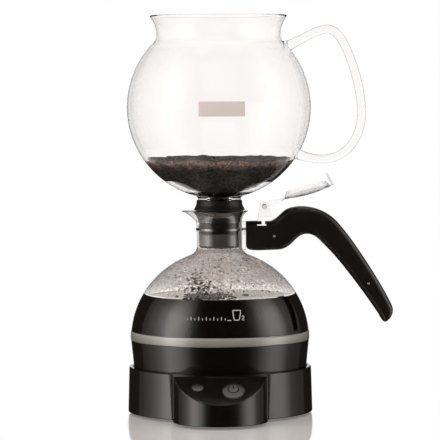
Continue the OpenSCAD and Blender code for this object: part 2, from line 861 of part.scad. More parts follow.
module lid_pin() {
  pin_head_r = 2.1;
  pin_head_t = 1;
  head_at = bracket_half + 0.6;
  color(steel) {
    along_y(hinge_x, hinge_z, -bracket_half - 0.4, bracket_half + 0.4, pin_r);
    for (y = [-head_at, head_at])
      along_y(hinge_x, hinge_z, y - pin_head_t / 2, y + pin_head_t / 2, pin_head_r);
  }
}

// The lid around its hinge, with its disc along +X: dome below, plug skirt and pouring flap above
module lid_body() {
  dome_top = lid_plane - lid_sag + lid_dome_r;
  translate([lid_reach, 0, 0]) {
    rotate_extrude() intersection() {
      translate([0, dome_top]) difference() {
        circle(lid_dome_r, $fn = dome_steps);
        circle(lid_dome_r - lid_wall, $fn = dome_steps);
      }
      translate([0, lid_plane - lid_sag - over]) square([lid_r + over, lid_sag + over]);
    }
    rotate_extrude() polygon([[skirt_top_r, lid_plane - 1], [skirt_top_r, lid_plane],
      [skirt_end_r, lid_plane + skirt_h],
      [skirt_end_r - 1.6, lid_plane + skirt_h], [skirt_top_r - 1.8, lid_plane],
        [skirt_top_r - 1.8, lid_plane - 1]]);
    slab(-tab_half, tab_half) polygon([[lid_r - 1.8, lid_plane - 0.6], [lid_r - 0.2, lid_plane - 0.3],
      [lid_r - 2.9, lid_plane + tab_h], [lid_r - 4.5, lid_plane + tab_h]]);
  }
  slab(-knuckle_half, knuckle_half) {
    circle(knuckle_r);
    polygon([[0, knuckle_r], [-1, -knuckle_r + 0.2], [1, -knuckle_r], [19.6, lid_plane - 0.8],
      [15.4, lid_plane]]);
  }
}

module lid() {
  color(clear) difference() {
    translate([hinge_x, 0, hinge_z]) rotate([0, -lid_open, 0]) lid_body();
    along_y(hinge_x, hinge_z, -20, 20, pin_r + pin_play);
  }
}

// Half section of the jug's bowl, waist and rim, at a given depth into the glass
module bowl_section(inset) {
  radius = bowl_r - inset;
  meet = touch(radius, bowl_z, waist_low_x, waist_z, waist_low_round + inset);
  low = inset > 0 ? floor_z : bowl_neck_z;
  high = inset > 0 ? rim_z + over : bead_z;
  intersection() {
    translate([0, bowl_z]) circle(radius);
    translate([0, low]) square([2 * bowl_r, meet.y - low]);
  }
  difference() {
    polygon([[0, meet.y - 0.5], [meet.x - 0.3, meet.y - 0.5], meet, [waist_low_x, waist_z],
      [0, waist_z]]);
    translate([waist_low_x, waist_z]) circle(waist_low_round + inset);
  }
  difference() {
    translate([0, waist_z]) square([waist_r + 10, high - waist_z]);
    translate([waist_high_x, waist_z]) circle(waist_high_round + inset);
  }
}

// Half section of the jug's foot and stem
module stem_section() {
  meet = [0, bowl_z] + bowl_r / (bowl_r + bowl_neck_round) * [bowl_neck_x, bowl_neck_z - bowl_z];
  difference() {
    polygon([[0, shoulder_z], [bowl_neck_r, shoulder_z], [bowl_neck_r, bowl_neck_z],
      [bowl_neck_x, bowl_neck_z], meet,
      [0, meet.y]]);
    translate([bowl_neck_x, bowl_neck_z]) circle(bowl_neck_round);
  }
  polygon([[0, stem_end], [stem_r, stem_end], [stem_r, stem_top], [stub_r, stub_low],
    [stub_r, shoulder_z + 0.5],
    [0, shoulder_z + 0.5]]);
}

module jug_glass() {
  color(clear) rotate_extrude() {
    difference() {
      union() {
        bowl_section(0);
        stem_section();
      }
      bowl_section(glass_wall);
      translate([0, stem_end - over]) square([stem_in, floor_z - stem_end + 2 * over]);
    }
    translate([bead_x, bead_z]) circle(bead_r);
  }
}

module jug_handle() {
  places = stations(rod_spans, rod_steps);
  final = len(places) - 1;
  color(clear) difference() {
    loft([for (i = [0:final]) let (place = places[i], span = rod_spans[place[0]],
      at = cubic(span, place[1]), way = cubic_way(span, place[1]),
      flare = weld_flare * exp(-min(i, final - i) / weld_reach))
      hoop([at.x, 0, at.y], [way.x, 0, way.y], [0, 1, 0], rod_r + flare, rod_sides)]);
    translate([0, 0, bowl_z]) sphere(bowl_r);
  }
}

module gasket() {
  plug_round = flare_round + glass_wall + gap;
  bore_r = stem_r + seat;
  stub_bore = stub_r + seat;
  color(rubber) rotate_extrude() difference() {
    union() {
      polygon([[0, mouth_z - 0.1], [collar_low_r - 1, mouth_z - 0.1], [collar_low_r - 1, mouth_z + gap],
        [collar_low_r, mouth_z + gap], [collar_low_r, mouth_z + 1.4],
          [collar_top_r + 0.4, shoulder_z - 4],
        [collar_top_r, shoulder_z - 0.4], [collar_top_r - 0.4, shoulder_z], [0, shoulder_z]]);
      difference() {
        translate([0, flare_z]) square([flare_x - plug_round + 4.5, mouth_z - flare_z]);
        translate([flare_x, flare_z]) circle(plug_round);
      }
      polygon([[0, sleeve_low], [sleeve_r - 1, sleeve_low], [sleeve_r, sleeve_low + 1.5],
        [sleeve_r, rib_low], [rib_r, rib_low + 0.5],
        [rib_r, band_low], [rib_groove_r, band_low + 0.5], [rib_groove_r, band_high - 0.5],
          [rib_r, band_high],
        [rib_r, flare_z], [0, flare_z]]);
    }
    polygon([[0, sleeve_low - over], [bore_r, sleeve_low - over], [bore_r, stem_top + seat],
      [stub_bore, stub_low + seat],
      [stub_bore, shoulder_z + over], [0, shoulder_z + over]]);
  }
}

module filter_disc() {
  low = floor_z + seat;
  color(black) rotate_extrude() difference() {
    union() {
      polygon([[0, low], [filter_r, low], [filter_r, low + 1.6], [filter_r - 3, low + filter_h],
        [5, low + filter_h + 1],
        [0, low + filter_h + 1]]);
      translate([0, low - 8]) square([stem_in - 0.6, 9]);
    }
    translate([0, low - 9]) square([stem_in - 2.4, 8]);
  }
}

// A point on the centre line of the filter's spring
function spring_point(i) = let (a = 360 * i / turn_rings)
  [spring_r * cos(a), spring_r * sin(a), spring_low + (spring_top - spring_low) * i / spring_rings];

// Least gap between the spring's wire and itself, half a turn or more along
spring_gap = min([for (i = [0:spring_rings]) for (j = [i + turn_rings / 2:1:spring_rings])
  norm(spring_point(i) - spring_point(j))]) - 2 * wire_r;
echo(spring_gap = spring_gap);

module filter_spring() {
  rise = (spring_top - spring_low) / spring_turns / (2 * PI * spring_r);
  color(steel) loft([for (i = [0:spring_rings]) let (a = 360 * i / turn_rings,
    out = [cos(a), sin(a), 0],
    way = [-sin(a), cos(a), rise] / norm([1, rise]))
    hoop(spring_point(i), way, out, wire_r, wire_sides)]);
}

module filter_hook() {
  bar_z = stem_end - hook_r - seat;
  color(steel) {
    translate([-stem_r + 0.8, 0, bar_z]) rotate([0, 90, 0]) cylinder(h = 2 * stem_r - 1.6, r = hook_r);
    translate([0, 0, bar_z]) cylinder(h = stem_end + 4 - bar_z, r = hook_r);
    translate([0, 0, stem_end + 3]) cylinder(h = 1.3, r = spring_r + wire_r);
  }
}

module brewed_coffee() {
  color(coffee) rotate_extrude() difference() {
    union() {
      intersection() {
        translate([0, globe_z]) circle(globe_in - 0.2);
        translate([0, ring_top]) square([globe_r, coffee_z - ring_top]);
      }
      translate([0, plate_z + plate_t + 0.2]) square([ring_in - 0.2, ring_top - plate_z - plate_t]);
    }
    translate([0, plate_z]) square([stem_r + 0.4, coffee_z]);
  }
}

module coffee_grounds() {
  low = floor_z + seat + 0.1;
  color(coffee) rotate_extrude() difference() {
    intersection() {
      translate([0, bowl_z]) circle(bowl_in - 0.2);
      translate([0, low]) square([bowl_r, grounds_z - low]);
    }
    translate([0, low - over]) square([filter_r + 0.2, filter_h + 1.2 + over]);
  }
}

base_shell();
base_cover();
foot_ring();
base_screws();
control_board();
tact_switch();
indicator_led();
board_screws();
indicator_lens();
base_connector();
connector_contacts();
cord_gland();
power_button();
carafe_glass();
seal_ring();
heating_plate();
heat_spreader();
heating_element();
thermostat();
heater_cup();
cup_screws();
carafe_socket();
socket_screws();
neck_band();
neck_saddle();
handle_front();
handle_back();
handle_screws();
lid_bracket();
lid_pin();
brewed_coffee();
lid();
jug_glass();
jug_handle();
gasket();
filter_disc();
filter_spring();
filter_hook();
coffee_grounds();
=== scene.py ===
"""Looks of the electric vacuum coffee brewer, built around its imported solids.

Outlines are written in millimetres in the brewer's own frame and scaled to metres as each piece is made.
"""
import math
import random

import bmesh
import bpy
from mathutils import Matrix, Vector


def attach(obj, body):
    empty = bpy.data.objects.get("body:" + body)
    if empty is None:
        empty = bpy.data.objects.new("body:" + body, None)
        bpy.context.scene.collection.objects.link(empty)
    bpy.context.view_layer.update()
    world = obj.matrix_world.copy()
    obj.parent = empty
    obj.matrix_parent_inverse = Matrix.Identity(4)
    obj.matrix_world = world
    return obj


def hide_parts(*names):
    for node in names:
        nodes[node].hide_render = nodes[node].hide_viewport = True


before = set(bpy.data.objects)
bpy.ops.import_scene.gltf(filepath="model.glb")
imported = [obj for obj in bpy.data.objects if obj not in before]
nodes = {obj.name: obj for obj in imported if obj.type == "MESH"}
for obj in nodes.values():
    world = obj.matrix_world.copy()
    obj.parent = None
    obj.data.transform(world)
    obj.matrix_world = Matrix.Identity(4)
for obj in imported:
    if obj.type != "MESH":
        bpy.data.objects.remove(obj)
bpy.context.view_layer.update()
scene = bpy.context.scene
scene.view_settings.view_transform = "Standard"

MM = 0.001
ROUND_STEPS = 160

# Glass carafe
GLOBE_R = 77.3
GLOBE_Z = 64.4
RING_TOP = 72.0
NECK_R = 19.5
NECK_IN = 18.5
NECK_FOOT = 146.0
BAND_Z = 155.0
FLARE_Z = 166.0
FLARE_AT = (30.5, FLARE_Z)
MOUTH_Z = 176.0
COFFEE_Z = 102.7
INNER_R = 75.0
INNER_Z = 62.9

# Glass jug
BOWL_R = 79.5
BOWL_Z = 265.5
RIM_Z = 345.0
GROUNDS_Z = 220.6
BOWL_FLOOR = 194.0
BOWL_IN_R = 77.0
BOWL_IN_Z = 266.2

# Control panel: its top edge, its slope, and the button's place on it
PANEL_OUT = 87.0
PANEL_TOP = 41.0
PANEL_TILT = math.radians(33)
BUTTON_AT = (10.9, 19.6)

# Screws of the carafe's handle, and the open lid: its lean, its plane, and where its plate and its tab begin
SCREWS_AT = ((47.4, 153.9), (128.8, 112.5))
LID_LEAN = math.radians(15.5)
LID_PLANE = 164.7
LID_X = 52.5
TAB_X = 92.5


# Shapes


def arc(center, radius, start, end, count):
    """Points on a circle in a half section, from one angle to another in degrees."""
    turns = [math.radians(start + (end - start) * i / count) for i in range(count + 1)]
    return [(center[0] + radius * math.cos(t), center[1] + radius * math.sin(t)) for t in turns]


def crest(a, b, height):
    """Points of a rounded edge that rises over the line between two points of a half section."""
    count = 6
    middle = ((a[0] + b[0]) / 2, (a[1] + b[1]) / 2)
    half = ((a[0] - b[0]) / 2, (a[1] - b[1]) / 2)
    turns = [math.pi * i / count for i in range(1, count)]
    return [(middle[0] + half[0] * math.cos(t), middle[1] + half[1] * math.cos(t) + height * math.sin(t))
            for t in turns]


def cubic(c, t):
    """A point on a cubic curve in X and Z."""
    s = 1 - t
    weights = (s ** 3, 3 * s * s * t, 3 * s * t * t, t ** 3)
    return Vector([sum(w * p[k] for w, p in zip(weights, c)) for k in (0, 1)])


def on_panel(x, down, out):
    """A point on the control panel: sideways, down its slope and out of it."""
    turn = Matrix.Rotation(PANEL_TILT, 3, "X")
    return Vector((x, -PANEL_OUT, PANEL_TOP)) + turn @ Vector((0, -down, out))


def revolve(bm, outline, closed=True):
    """Spins an outline of radius and height around the brewer's axis."""
    verts = [bm.verts.new((r, 0, z)) for r, z in outline]
    pairs = list(zip(verts, verts[1:]))
    if closed:
        pairs.append((verts[-1], verts[0]))
    edges = [bm.edges.new(pair) for pair in pairs]
    bmesh.ops.spin(bm, geom=verts + edges, cent=(0, 0, 0), axis=(0, 0, 1), angle=2 * math.pi,
                   steps=ROUND_STEPS, use_merge=True)
    bmesh.ops.remove_doubles(bm, verts=bm.verts[:], dist=1e-4)
    bmesh.ops.recalc_face_normals(bm, faces=bm.faces[:])


def sweep(bm, rings):
    """Joins closed rings of points one to the next and closes both ends."""
    loops = []
    for ring in rings:
        verts = [bm.verts.new(p) for p in ring]
        loops.append([bm.edges.new(pair) for pair in zip(verts, verts[1:] + verts[:1])])
    for near, far in zip(loops, loops[1:]):
        bmesh.ops.bridge_loops(bm, edges=near + far)
    bmesh.ops.holes_fill(bm, edges=loops[0] + loops[-1], sides=0)
    bmesh.ops.recalc_face_normals(bm, faces=bm.faces[:])


def mesh_object(name, bm):
    """An object in the scene from a mesh in millimetres."""
    bmesh.ops.scale(bm, vec=(MM, MM, MM), verts=bm.verts[:])
    mesh = bpy.data.meshes.new(name)
    bm.to_mesh(mesh)
    bm.free()
    obj = bpy.data.objects.new(name, mesh)
    scene.collection.objects.link(obj)
    return obj


def shade(obj, sharp=40):
    """Smooth shading, with edges sharper than the given angle kept crisp."""
    obj.data.shade_smooth()
    obj.data.set_sharp_from_angle(angle=math.radians(sharp))


def settle(obj, body, finish, replaced=()):
    """Gives a piece its finish and its body, and hides the solids it stands for."""
    obj.data.materials.clear()
    obj.data.materials.append(finish)
    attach(obj, body)
    if replaced:
        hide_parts(*replaced)
    return obj


def turned_piece(name, outline, body, finish, replaced=(), sharp=40):
    """A piece spun from an outline, with its finish and its body."""
    bm = bmesh.new()
    revolve(bm, outline)
    obj = mesh_object(name, bm)
    shade(obj, sharp)
    return settle(obj, body, finish, replaced)


def cut(obj, cutter):
    """Takes the cutter's shape out of a piece and removes the cutter."""
    step = obj.modifiers.new("cut", "BOOLEAN")
    step.operation = "DIFFERENCE"
    step.solver = "EXACT"
    step.object = cutter
    bpy.context.view_layer.update()
    shaped = bpy.data.meshes.new_from_object(obj.evaluated_get(bpy.context.evaluated_depsgraph_get()))
    obj.modifiers.clear()
    obj.data = shaped
    bpy.data.objects.remove(cutter)


def cut_block(obj, low, high):
    """Takes a block between two corners out of a piece."""
    size = [b - a for a, b in zip(low, high)]
    middle = [(a + b) / 2 for a, b in zip(low, high)]
    bm = bmesh.new()
    bmesh.ops.create_cube(bm, size=1, matrix=Matrix.Translation(middle) @ Matrix.Diagonal((*size, 1)))
    cut(obj, mesh_object("block_cutter", bm))


# Shared effects

SKIN = ("Color", "Roughness", "Height")


def feed(tree, socket, value):
    """Sets a socket to a number, a colour or a direction, or links it to another socket."""
    if isinstance(value, (int, float)):
        socket.default_value = value
    elif isinstance(value, tuple):
        socket.default_value = (*value, 1)[:len(socket.default_value)]
    else:
        tree.links.new(value, socket)


def math_node(tree, operation, *values):
    """A sum on numbers."""
    node = tree.nodes.new("ShaderNodeMath")
    node.operation = operation
    for socket, value in zip(node.inputs, values):
        feed(tree, socket, value)
    return node.outputs[0]


def vector_node(tree, operation, *values):
    """A sum on vectors, with its result in Vector or in Value."""
    node = tree.nodes.new("ShaderNodeVectorMath")
    node.operation = operation
    for socket, value in zip(node.inputs, values):
        feed(tree, socket, value)
    return node.outputs


def product(tree, a, b):
    """Two colours multiplied."""
    return vector_node(tree, "MULTIPLY", a, b)["Vector"]


def mix_colors(tree, factor, a, b):
    """A colour between two others."""
    node = tree.nodes.new("ShaderNodeMix")
    node.data_type = "RGBA"
    sockets = [s for s in node.inputs if s.enabled]
    for socket, value in zip(sockets, (factor, a, b)):
        feed(tree, socket, value)
    return [s for s in node.outputs if s.enabled][0]


def spread(tree, value, low, high, to_low=0.0, to_high=1.0):
    """Maps a value from one range to another, held at its ends."""
    node = tree.nodes.new("ShaderNodeMapRange")
    labels = ("Value", "From Min", "From Max", "To Min", "To Max")
    for label, number in zip(labels, (value, low, high, to_low, to_high)):
        feed(tree, node.inputs[label], number)
    return node.outputs["Result"]


def noise_node(tree, place, scale, detail=4.0, rough=0.55):
    """A cloudy pattern."""
    node = tree.nodes.new("ShaderNodeTexNoise")
    for label, value in (("Vector", place), ("Scale", scale), ("Detail", detail), ("Roughness", rough)):
        feed(tree, node.inputs[label], value)
    return node.outputs["Fac"]


def cell_node(tree, place, scale):
    """A pattern of cells: the distance to each cell's middle, and a colour for each."""
    node = tree.nodes.new("ShaderNodeTexVoronoi")
    feed(tree, node.inputs["Vector"], place)
    feed(tree, node.inputs["Scale"], scale)
    return node.outputs


def object_place(tree):
    """The place on a piece, in the brewer's frame."""
    return tree.nodes.new("ShaderNodeTexCoord").outputs["Object"]


def axes(tree, place):
    """X, Y and Z of a place."""
    node = tree.nodes.new("ShaderNodeSeparateXYZ")
    tree.links.new(place, node.inputs[0])
    return node.outputs


def scaled(tree, place, scale, shift=(0, 0, 0)):
    """A place scaled along each axis, then moved."""
    node = tree.nodes.new("ShaderNodeMapping")
    node.inputs["Location"].default_value = shift
    node.inputs["Scale"].default_value = scale
    tree.links.new(place, node.inputs["Vector"])
    return node.outputs[0]


def flat_length(tree, place, scale=(1, 1, 0), shift=(0, 0, 0)):
    """Distance of a place from an upright axis, the brewer's own unless it is shifted."""
    return vector_node(tree, "LENGTH", scaled(tree, place, scale, shift))["Value"]


def new_group(name, inputs, outputs):
    """An empty effect with its named inputs, at their usual values, and its outputs."""
    group = bpy.data.node_groups.new(name, "ShaderNodeTree")
    for label, value in inputs.items():
        is_color = isinstance(value, tuple)
        kind = "NodeSocketColor" if is_color else "NodeSocketFloat"
        socket = group.interface.new_socket(label, in_out="INPUT", socket_type=kind)
        socket.default_value = (*value, 1) if is_color else value
    for label in outputs:
        kind = "NodeSocketColor" if label == "Color" else "NodeSocketFloat"
        group.interface.new_socket(label, in_out="OUTPUT", socket_type=kind)
    source = group.nodes.new("NodeGroupInput")
    result = group.nodes.new("NodeGroupOutput")
    return group, source.outputs, result.inputs


def put_out(group, result, *values):
    """Links an effect's values to its outputs, in their order."""
    for socket, value in zip(result, values):
        group.links.new(value, socket)
    return group


def make_moulded():
    """Moulded skin: cloudy colour, uneven gloss and a fine texture."""
    group, source, result = new_group("moulded_skin", {
        "Dark": (0, 0, 0), "Light": (0.02, 0.02, 0.02), "Gloss Low": 0.1, "Gloss High": 0.2,
        "Grain": 2500.0}, SKIN)
    place = object_place(group)
    cloud = noise_node(group, place, 38.0)
    tone = math_node(group, "MULTIPLY_ADD", cloud, 0.7, 0.15)
    color = mix_colors(group, tone, source["Dark"], source["Light"])
    gloss = spread(group, cloud, 0.3, 0.7, source["Gloss Low"], source["Gloss High"])
    fine = noise_node(group, place, source["Grain"], 2.0)
    return put_out(group, result, color, gloss, fine)


def make_brushed():
    """Worked metal: hair lines around the axis, with worn and cloudy places."""
    group, source, result = new_group("worked_metal", {
        "Dark": (0.4, 0.4, 0.4), "Light": (0.7, 0.7, 0.7), "Gloss Low": 0.15, "Gloss High": 0.35,
        "Lines": 900.0}, SKIN)
    place = object_place(group)
    lines = noise_node(group, scaled(group, place, (0.05, 0.05, 1.0)), source["Lines"], 3.0)
    cloud = math_node(group, "MULTIPLY", noise_node(group, place, 90.0), 0.3)
    both = math_node(group, "MULTIPLY_ADD", lines, 0.7, cloud)
    color = mix_colors(group, both, source["Dark"], source["Light"])
    gloss = spread(group, both, 0.35, 0.65, source["Gloss Low"], source["Gloss High"])
    return put_out(group, result, color, gloss, lines)


def make_granules():
    """Coarse ground coffee: pieces of differing brown with dark gaps between them."""
    group, source, result = new_group("granules", {
        "Dark": (0.004, 0.003, 0.002), "Light": (0.05, 0.03, 0.02), "Size": 700.0}, SKIN)
    place = object_place(group)
    cells = cell_node(group, place, source["Size"])
    tone = group.nodes.new("ShaderNodeSeparateColor")
    group.links.new(cells["Color"], tone.inputs[0])
    level = math_node(group, "MULTIPLY", tone.outputs[0], noise_node(group, place, 60.0))
    color = mix_colors(group, level, source["Dark"], source["Light"])
    gloss = spread(group, tone.outputs[1], 0.0, 1.0, 0.45, 0.9)
    rise = math_node(group, "SUBTRACT", 1.0, cells["Distance"])
    return put_out(group, result, color, gloss, rise)


def make_vapour():
    """Condensed vapour on glass: how much of the glass it covers, spotted, and thicker higher up."""
    group, source, result = new_group("vapour", {
        "Thin": 0.05, "Thick": 0.4, "Spots": 420.0, "Low": 0.1, "High": 0.15, "Foot": 0.75},
        ("Cover", "Height"))
    place = object_place(group)
    cloud = noise_node(group, place, 55.0, 5.0)
    spots = noise_node(group, place, source["Spots"], 2.0, 0.6)
    beads = cell_node(group, place, math_node(group, "MULTIPLY", source["Spots"], 1.6))["Distance"]
    haze = math_node(group, "MULTIPLY", math_node(group, "ADD", cloud, spots), 0.35)
    haze = math_node(group, "MULTIPLY_ADD", beads, 0.5, haze)
    cover = spread(group, haze, 0.46, 0.66, source["Thin"], source["Thick"])
    rise = spread(group, axes(group, place)[2], source["Low"], source["High"], source["Foot"], 1.1)
    return put_out(group, result, math_node(group, "MULTIPLY", cover, rise), beads)


MOULDED = make_moulded()
BRUSHED = make_brushed()
GRANULES = make_granules()
VAPOUR = make_vapour()


# Finishes


def finish_base(name):
    """A material with its shader, ready for an effect."""
    material = bpy.data.materials.new(name)
    material.use_nodes = True
    tree = material.node_tree
    return material, tree, tree.nodes["Principled BSDF"]


def place_effect(tree, group, **values):
    """Places an effect in a material with the material's own values."""
    node = tree.nodes.new("ShaderNodeGroup")
    node.node_tree = group
    for label, value in values.items():
        feed(tree, node.inputs[label.replace("_", " ")], value)
    return node.outputs


def raise_surface(tree, shader, height, distance, strength):
    """Gives the shader a fine texture, of a depth in metres."""
    bump = tree.nodes.new("ShaderNodeBump")
    bump.inputs["Distance"].default_value = distance
    bump.inputs["Strength"].default_value = strength
    tree.links.new(height, bump.inputs["Height"])
    tree.links.new(bump.outputs["Normal"], shader.inputs["Normal"])
    return bump


def lay_skin(tree, shader, color, skin, depth, strength=0.2):
    """Gives the shader its colour, and an effect's gloss and fine texture."""
    tree.links.new(color, shader.inputs["Base Color"])
    tree.links.new(skin["Roughness"], shader.inputs["Roughness"])
    return raise_surface(tree, shader, skin["Height"], depth, strength)


def facing(tree):
    """How far a surface turns from square on to edge on, from 0 to 1."""
    node = tree.nodes.new("ShaderNodeLayerWeight")
    node.inputs["Blend"].default_value = 0.5
    return node.outputs["Facing"]


def moulded_finish(name, dark, light, gloss, grain=2500.0, depth=0.00002, shine=0.5, edge=0.0):
    """Plastic, rubber or silicone with a moulded skin, its edges softened where an edge radius is given."""
    material, tree, shader = finish_base(name)
    skin = place_effect(tree, MOULDED, Dark=dark, Light=light, Gloss_Low=gloss[0], Gloss_High=gloss[1],
                        Grain=grain)
    bump = lay_skin(tree, shader, skin["Color"], skin, depth)
    if edge:
        soft = tree.nodes.new("ShaderNodeBevel")
        soft.samples = 6
        soft.inputs["Radius"].default_value = edge
        tree.links.new(soft.outputs["Normal"], bump.inputs["Normal"])
    shader.inputs["IOR"].default_value = 1.5
    shader.inputs["Specular IOR Level"].default_value = shine
    return material


def metal_finish(name, dark, light, gloss):
    """Metal with worked hair lines."""
    material, tree, shader = finish_base(name)
    skin = place_effect(tree, BRUSHED, Dark=dark, Light=light, Gloss_Low=gloss[0], Gloss_High=gloss[1])
    lay_skin(tree, shader, skin["Color"], skin, 0.00002)
    shader.inputs["Metallic"].default_value = 1.0
    return material


def clear_finish(name, middle, edge, edge_from, ior, edge_to=1.0, **more):
    """Clear glass, plastic or water: a faint tint seen square on, deeper where it is seen edge on; that
    deeper edge tone is painted shade along the outlines.
    """
    material, tree, shader = finish_base(name)
    skin = place_effect(tree, MOULDED, Dark=(0.985, 0.985, 0.985), Light=(1.0, 1.0, 1.0), Grain=60.0)
    # Edge tone by how far the surface turns edge on: painted shade for dark outlines.
    lean = spread(tree, facing(tree), edge_from, edge_to)
    tone = mix_colors(tree, math_node(tree, "MULTIPLY", lean, lean), middle, edge)
    tree.links.new(product(tree, tone, skin["Color"]), shader.inputs["Base Color"])
    values = {"Roughness": 0.0, "IOR": ior, "Transmission_Weight": 1.0, **more}
    for label, value in values.items():
        shader.inputs[label.replace("_", " ")].default_value = value
    return material


def lid_finish(name):
    """Clear plastic with painted shade, greyer in the lid's domed plate and in its tab."""
    shade_grey, tab_share = (0.6, 0.58, 0.6), 0.6
    material = clear_finish(name, (0.985, 0.975, 0.965), (0.5, 0.47, 0.48), 0.4, 1.22, Roughness=0.08)
    tree = material.node_tree
    base = tree.nodes["Principled BSDF"].inputs["Base Color"]
    place = object_place(tree)
    x = axes(tree, place)[0]
    rise = vector_node(tree, "DOT_PRODUCT", place, (-math.sin(LID_LEAN), 0, math.cos(LID_LEAN)))["Value"]
    below = spread(tree, rise, (LID_PLANE - 0.6) * MM, (LID_PLANE + 1) * MM, 1.0, 0.0)
    plate = math_node(tree, "MULTIPLY", below, spread(tree, x, LID_X * MM, (LID_X + 3) * MM))
    tab = spread(tree, x, TAB_X * MM, (TAB_X + 1.5) * MM, 0.0, tab_share)
    # Painted shade greys the plate and the tab.
    tint = mix_colors(tree, math_node(tree, "MAXIMUM", plate, tab), (1.0, 1.0, 1.0), shade_grey)
    tree.links.new(product(tree, base.links[0].from_socket, tint), base)
    return material


def granule_finish(name, dark, light, crust, crust_from):
    """Wet ground coffee with a dry crust where it meets the glass, above a height in metres."""
    size, depth, fade, uneven_by = 650.0, 0.0008, 0.0062, 0.0016
    material, tree, shader = finish_base(name)
    skin = place_effect(tree, GRANULES, Dark=dark, Light=light, Size=size)
    dry = place_effect(tree, GRANULES, Dark=light, Light=crust, Size=size)
    place = object_place(tree)
    ragged = spread(tree, noise_node(tree, place, 160.0), 0.3, 0.7, -uneven_by, uneven_by)
    uneven = math_node(tree, "ADD", axes(tree, place)[2], ragged)
    height = spread(tree, uneven, crust_from, crust_from + fade)
    reach = vector_node(tree, "DISTANCE", place, (0, 0, BOWL_IN_Z * MM))["Value"]
    outer = spread(tree, reach, (BOWL_IN_R - 1.5) * MM, (BOWL_IN_R - 0.5) * MM)
    share = math_node(tree, "MULTIPLY", math_node(tree, "MULTIPLY", height, height), outer)
    lay_skin(tree, shader, mix_colors(tree, share, skin["Color"], dry["Color"]), skin, depth, 0.7)
    shader.inputs["Specular IOR Level"].default_value = 0.1
    return material


def vapour_finish(name, color, cover, spots, heights, foot, edge_on):
    """Vapour on glass; where it is seen edge on it covers more, by the given share."""
    material, tree, shader = finish_base(name)
    mist = place_effect(tree, VAPOUR, Thin=cover[0], Thick=cover[1], Spots=spots, Low=heights[0],
                        High=heights[1], Foot=foot)
    lean = spread(tree, facing(tree), 0.3, 1.0, 1.0 - edge_on, 1.0)
    tree.links.new(math_node(tree, "MULTIPLY", mist["Cover"], lean), shader.inputs["Alpha"])
    raise_surface(tree, shader, mist["Height"], 0.0004, 0.6)
    shader.inputs["Base Color"].default_value = (*color, 1)
    shader.inputs["Roughness"].default_value = 0.5
    shader.inputs["Specular IOR Level"].default_value = 0.1
    return material


def banded_finish(name, low, high, low_color, high_color, gloss, shine):
    """A moulded piece whose colour changes between two heights, in metres."""
    material, tree, shader = finish_base(name)
    skin = place_effect(tree, MOULDED, Dark=(0.8, 0.8, 0.8), Light=(1.1, 1.1, 1.1), Gloss_Low=gloss[0],
                        Gloss_High=gloss[1], Grain=1500.0)
    level = axes(tree, object_place(tree))[2]
    tone = mix_colors(tree, spread(tree, level, low, high), low_color, high_color)
    lay_skin(tree, shader, product(tree, tone, skin["Color"]), skin, 0.00003)
    shader.inputs["Specular IOR Level"].default_value = shine
    return material


def button_finish(name, low, high):
    """Round button: a dark dome in a raised ring, lighter towards the foot by painted highlight, the ring
    most of all, between heights in metres.
    """
    dome_r, ring_r = 6.4, 7.2
    material, tree, shader = finish_base(name)
    skin = place_effect(tree, MOULDED, Dark=(0.85, 0.85, 0.85), Light=(1.1, 1.1, 1.1), Gloss_Low=0.2,
                        Gloss_High=0.3, Grain=1500.0)
    place = object_place(tree)
    up = spread(tree, axes(tree, place)[2], low, high)
    # Painted highlight: the dome and, far more, the ring are lighter towards the foot.
    dome = mix_colors(tree, up, (0.085, 0.085, 0.083), (0.07, 0.07, 0.068))
    ring = mix_colors(tree, up, (0.12, 0.12, 0.118), (0.012, 0.012, 0.0118))
    middle = on_panel(*BUTTON_AT, 0) * MM
    turned = tree.nodes.new("ShaderNodeVectorRotate")
    turned.rotation_type = "X_AXIS"
    turned.inputs["Center"].default_value = middle
    turned.inputs["Angle"].default_value = -PANEL_TILT
    tree.links.new(place, turned.inputs["Vector"])
    reach = flat_length(tree, turned.outputs[0], shift=(-middle.x, -middle.y, 0))
    color = mix_colors(tree, spread(tree, reach, dome_r * MM, ring_r * MM), dome, ring)
    lay_skin(tree, shader, product(tree, color, skin["Color"]), skin, 0.00003)
    return material


def froth_finish(name, middle, rim, radius):
    """Pale froth on coffee, darker beyond the given radius, in streaks at the far side and in patches."""
    material, tree, shader = finish_base(name)
    place = object_place(tree)
    streaks = spread(tree, noise_node(tree, place, 45.0, 6.0), 0.4, 0.6, 0.0, 0.011)
    far = math_node(tree, "MULTIPLY", spread(tree, axes(tree, place)[1], 0.0, 0.03), streaks)
    reach = math_node(tree, "ADD", flat_length(tree, place), far)
    outer = spread(tree, reach, radius, radius + 0.004)
    patches = spread(tree, noise_node(tree, place, 90.0, 6.0), 0.57, 0.72, 0.0, 0.6)
    color = mix_colors(tree, math_node(tree, "MAXIMUM", outer, patches), middle, rim)
    tree.links.new(color, shader.inputs["Base Color"])
    raise_surface(tree, shader, cell_node(tree, place, 700.0)["Distance"], 0.0005, 0.5)
    shader.inputs["Roughness"].default_value = 0.4
    return material


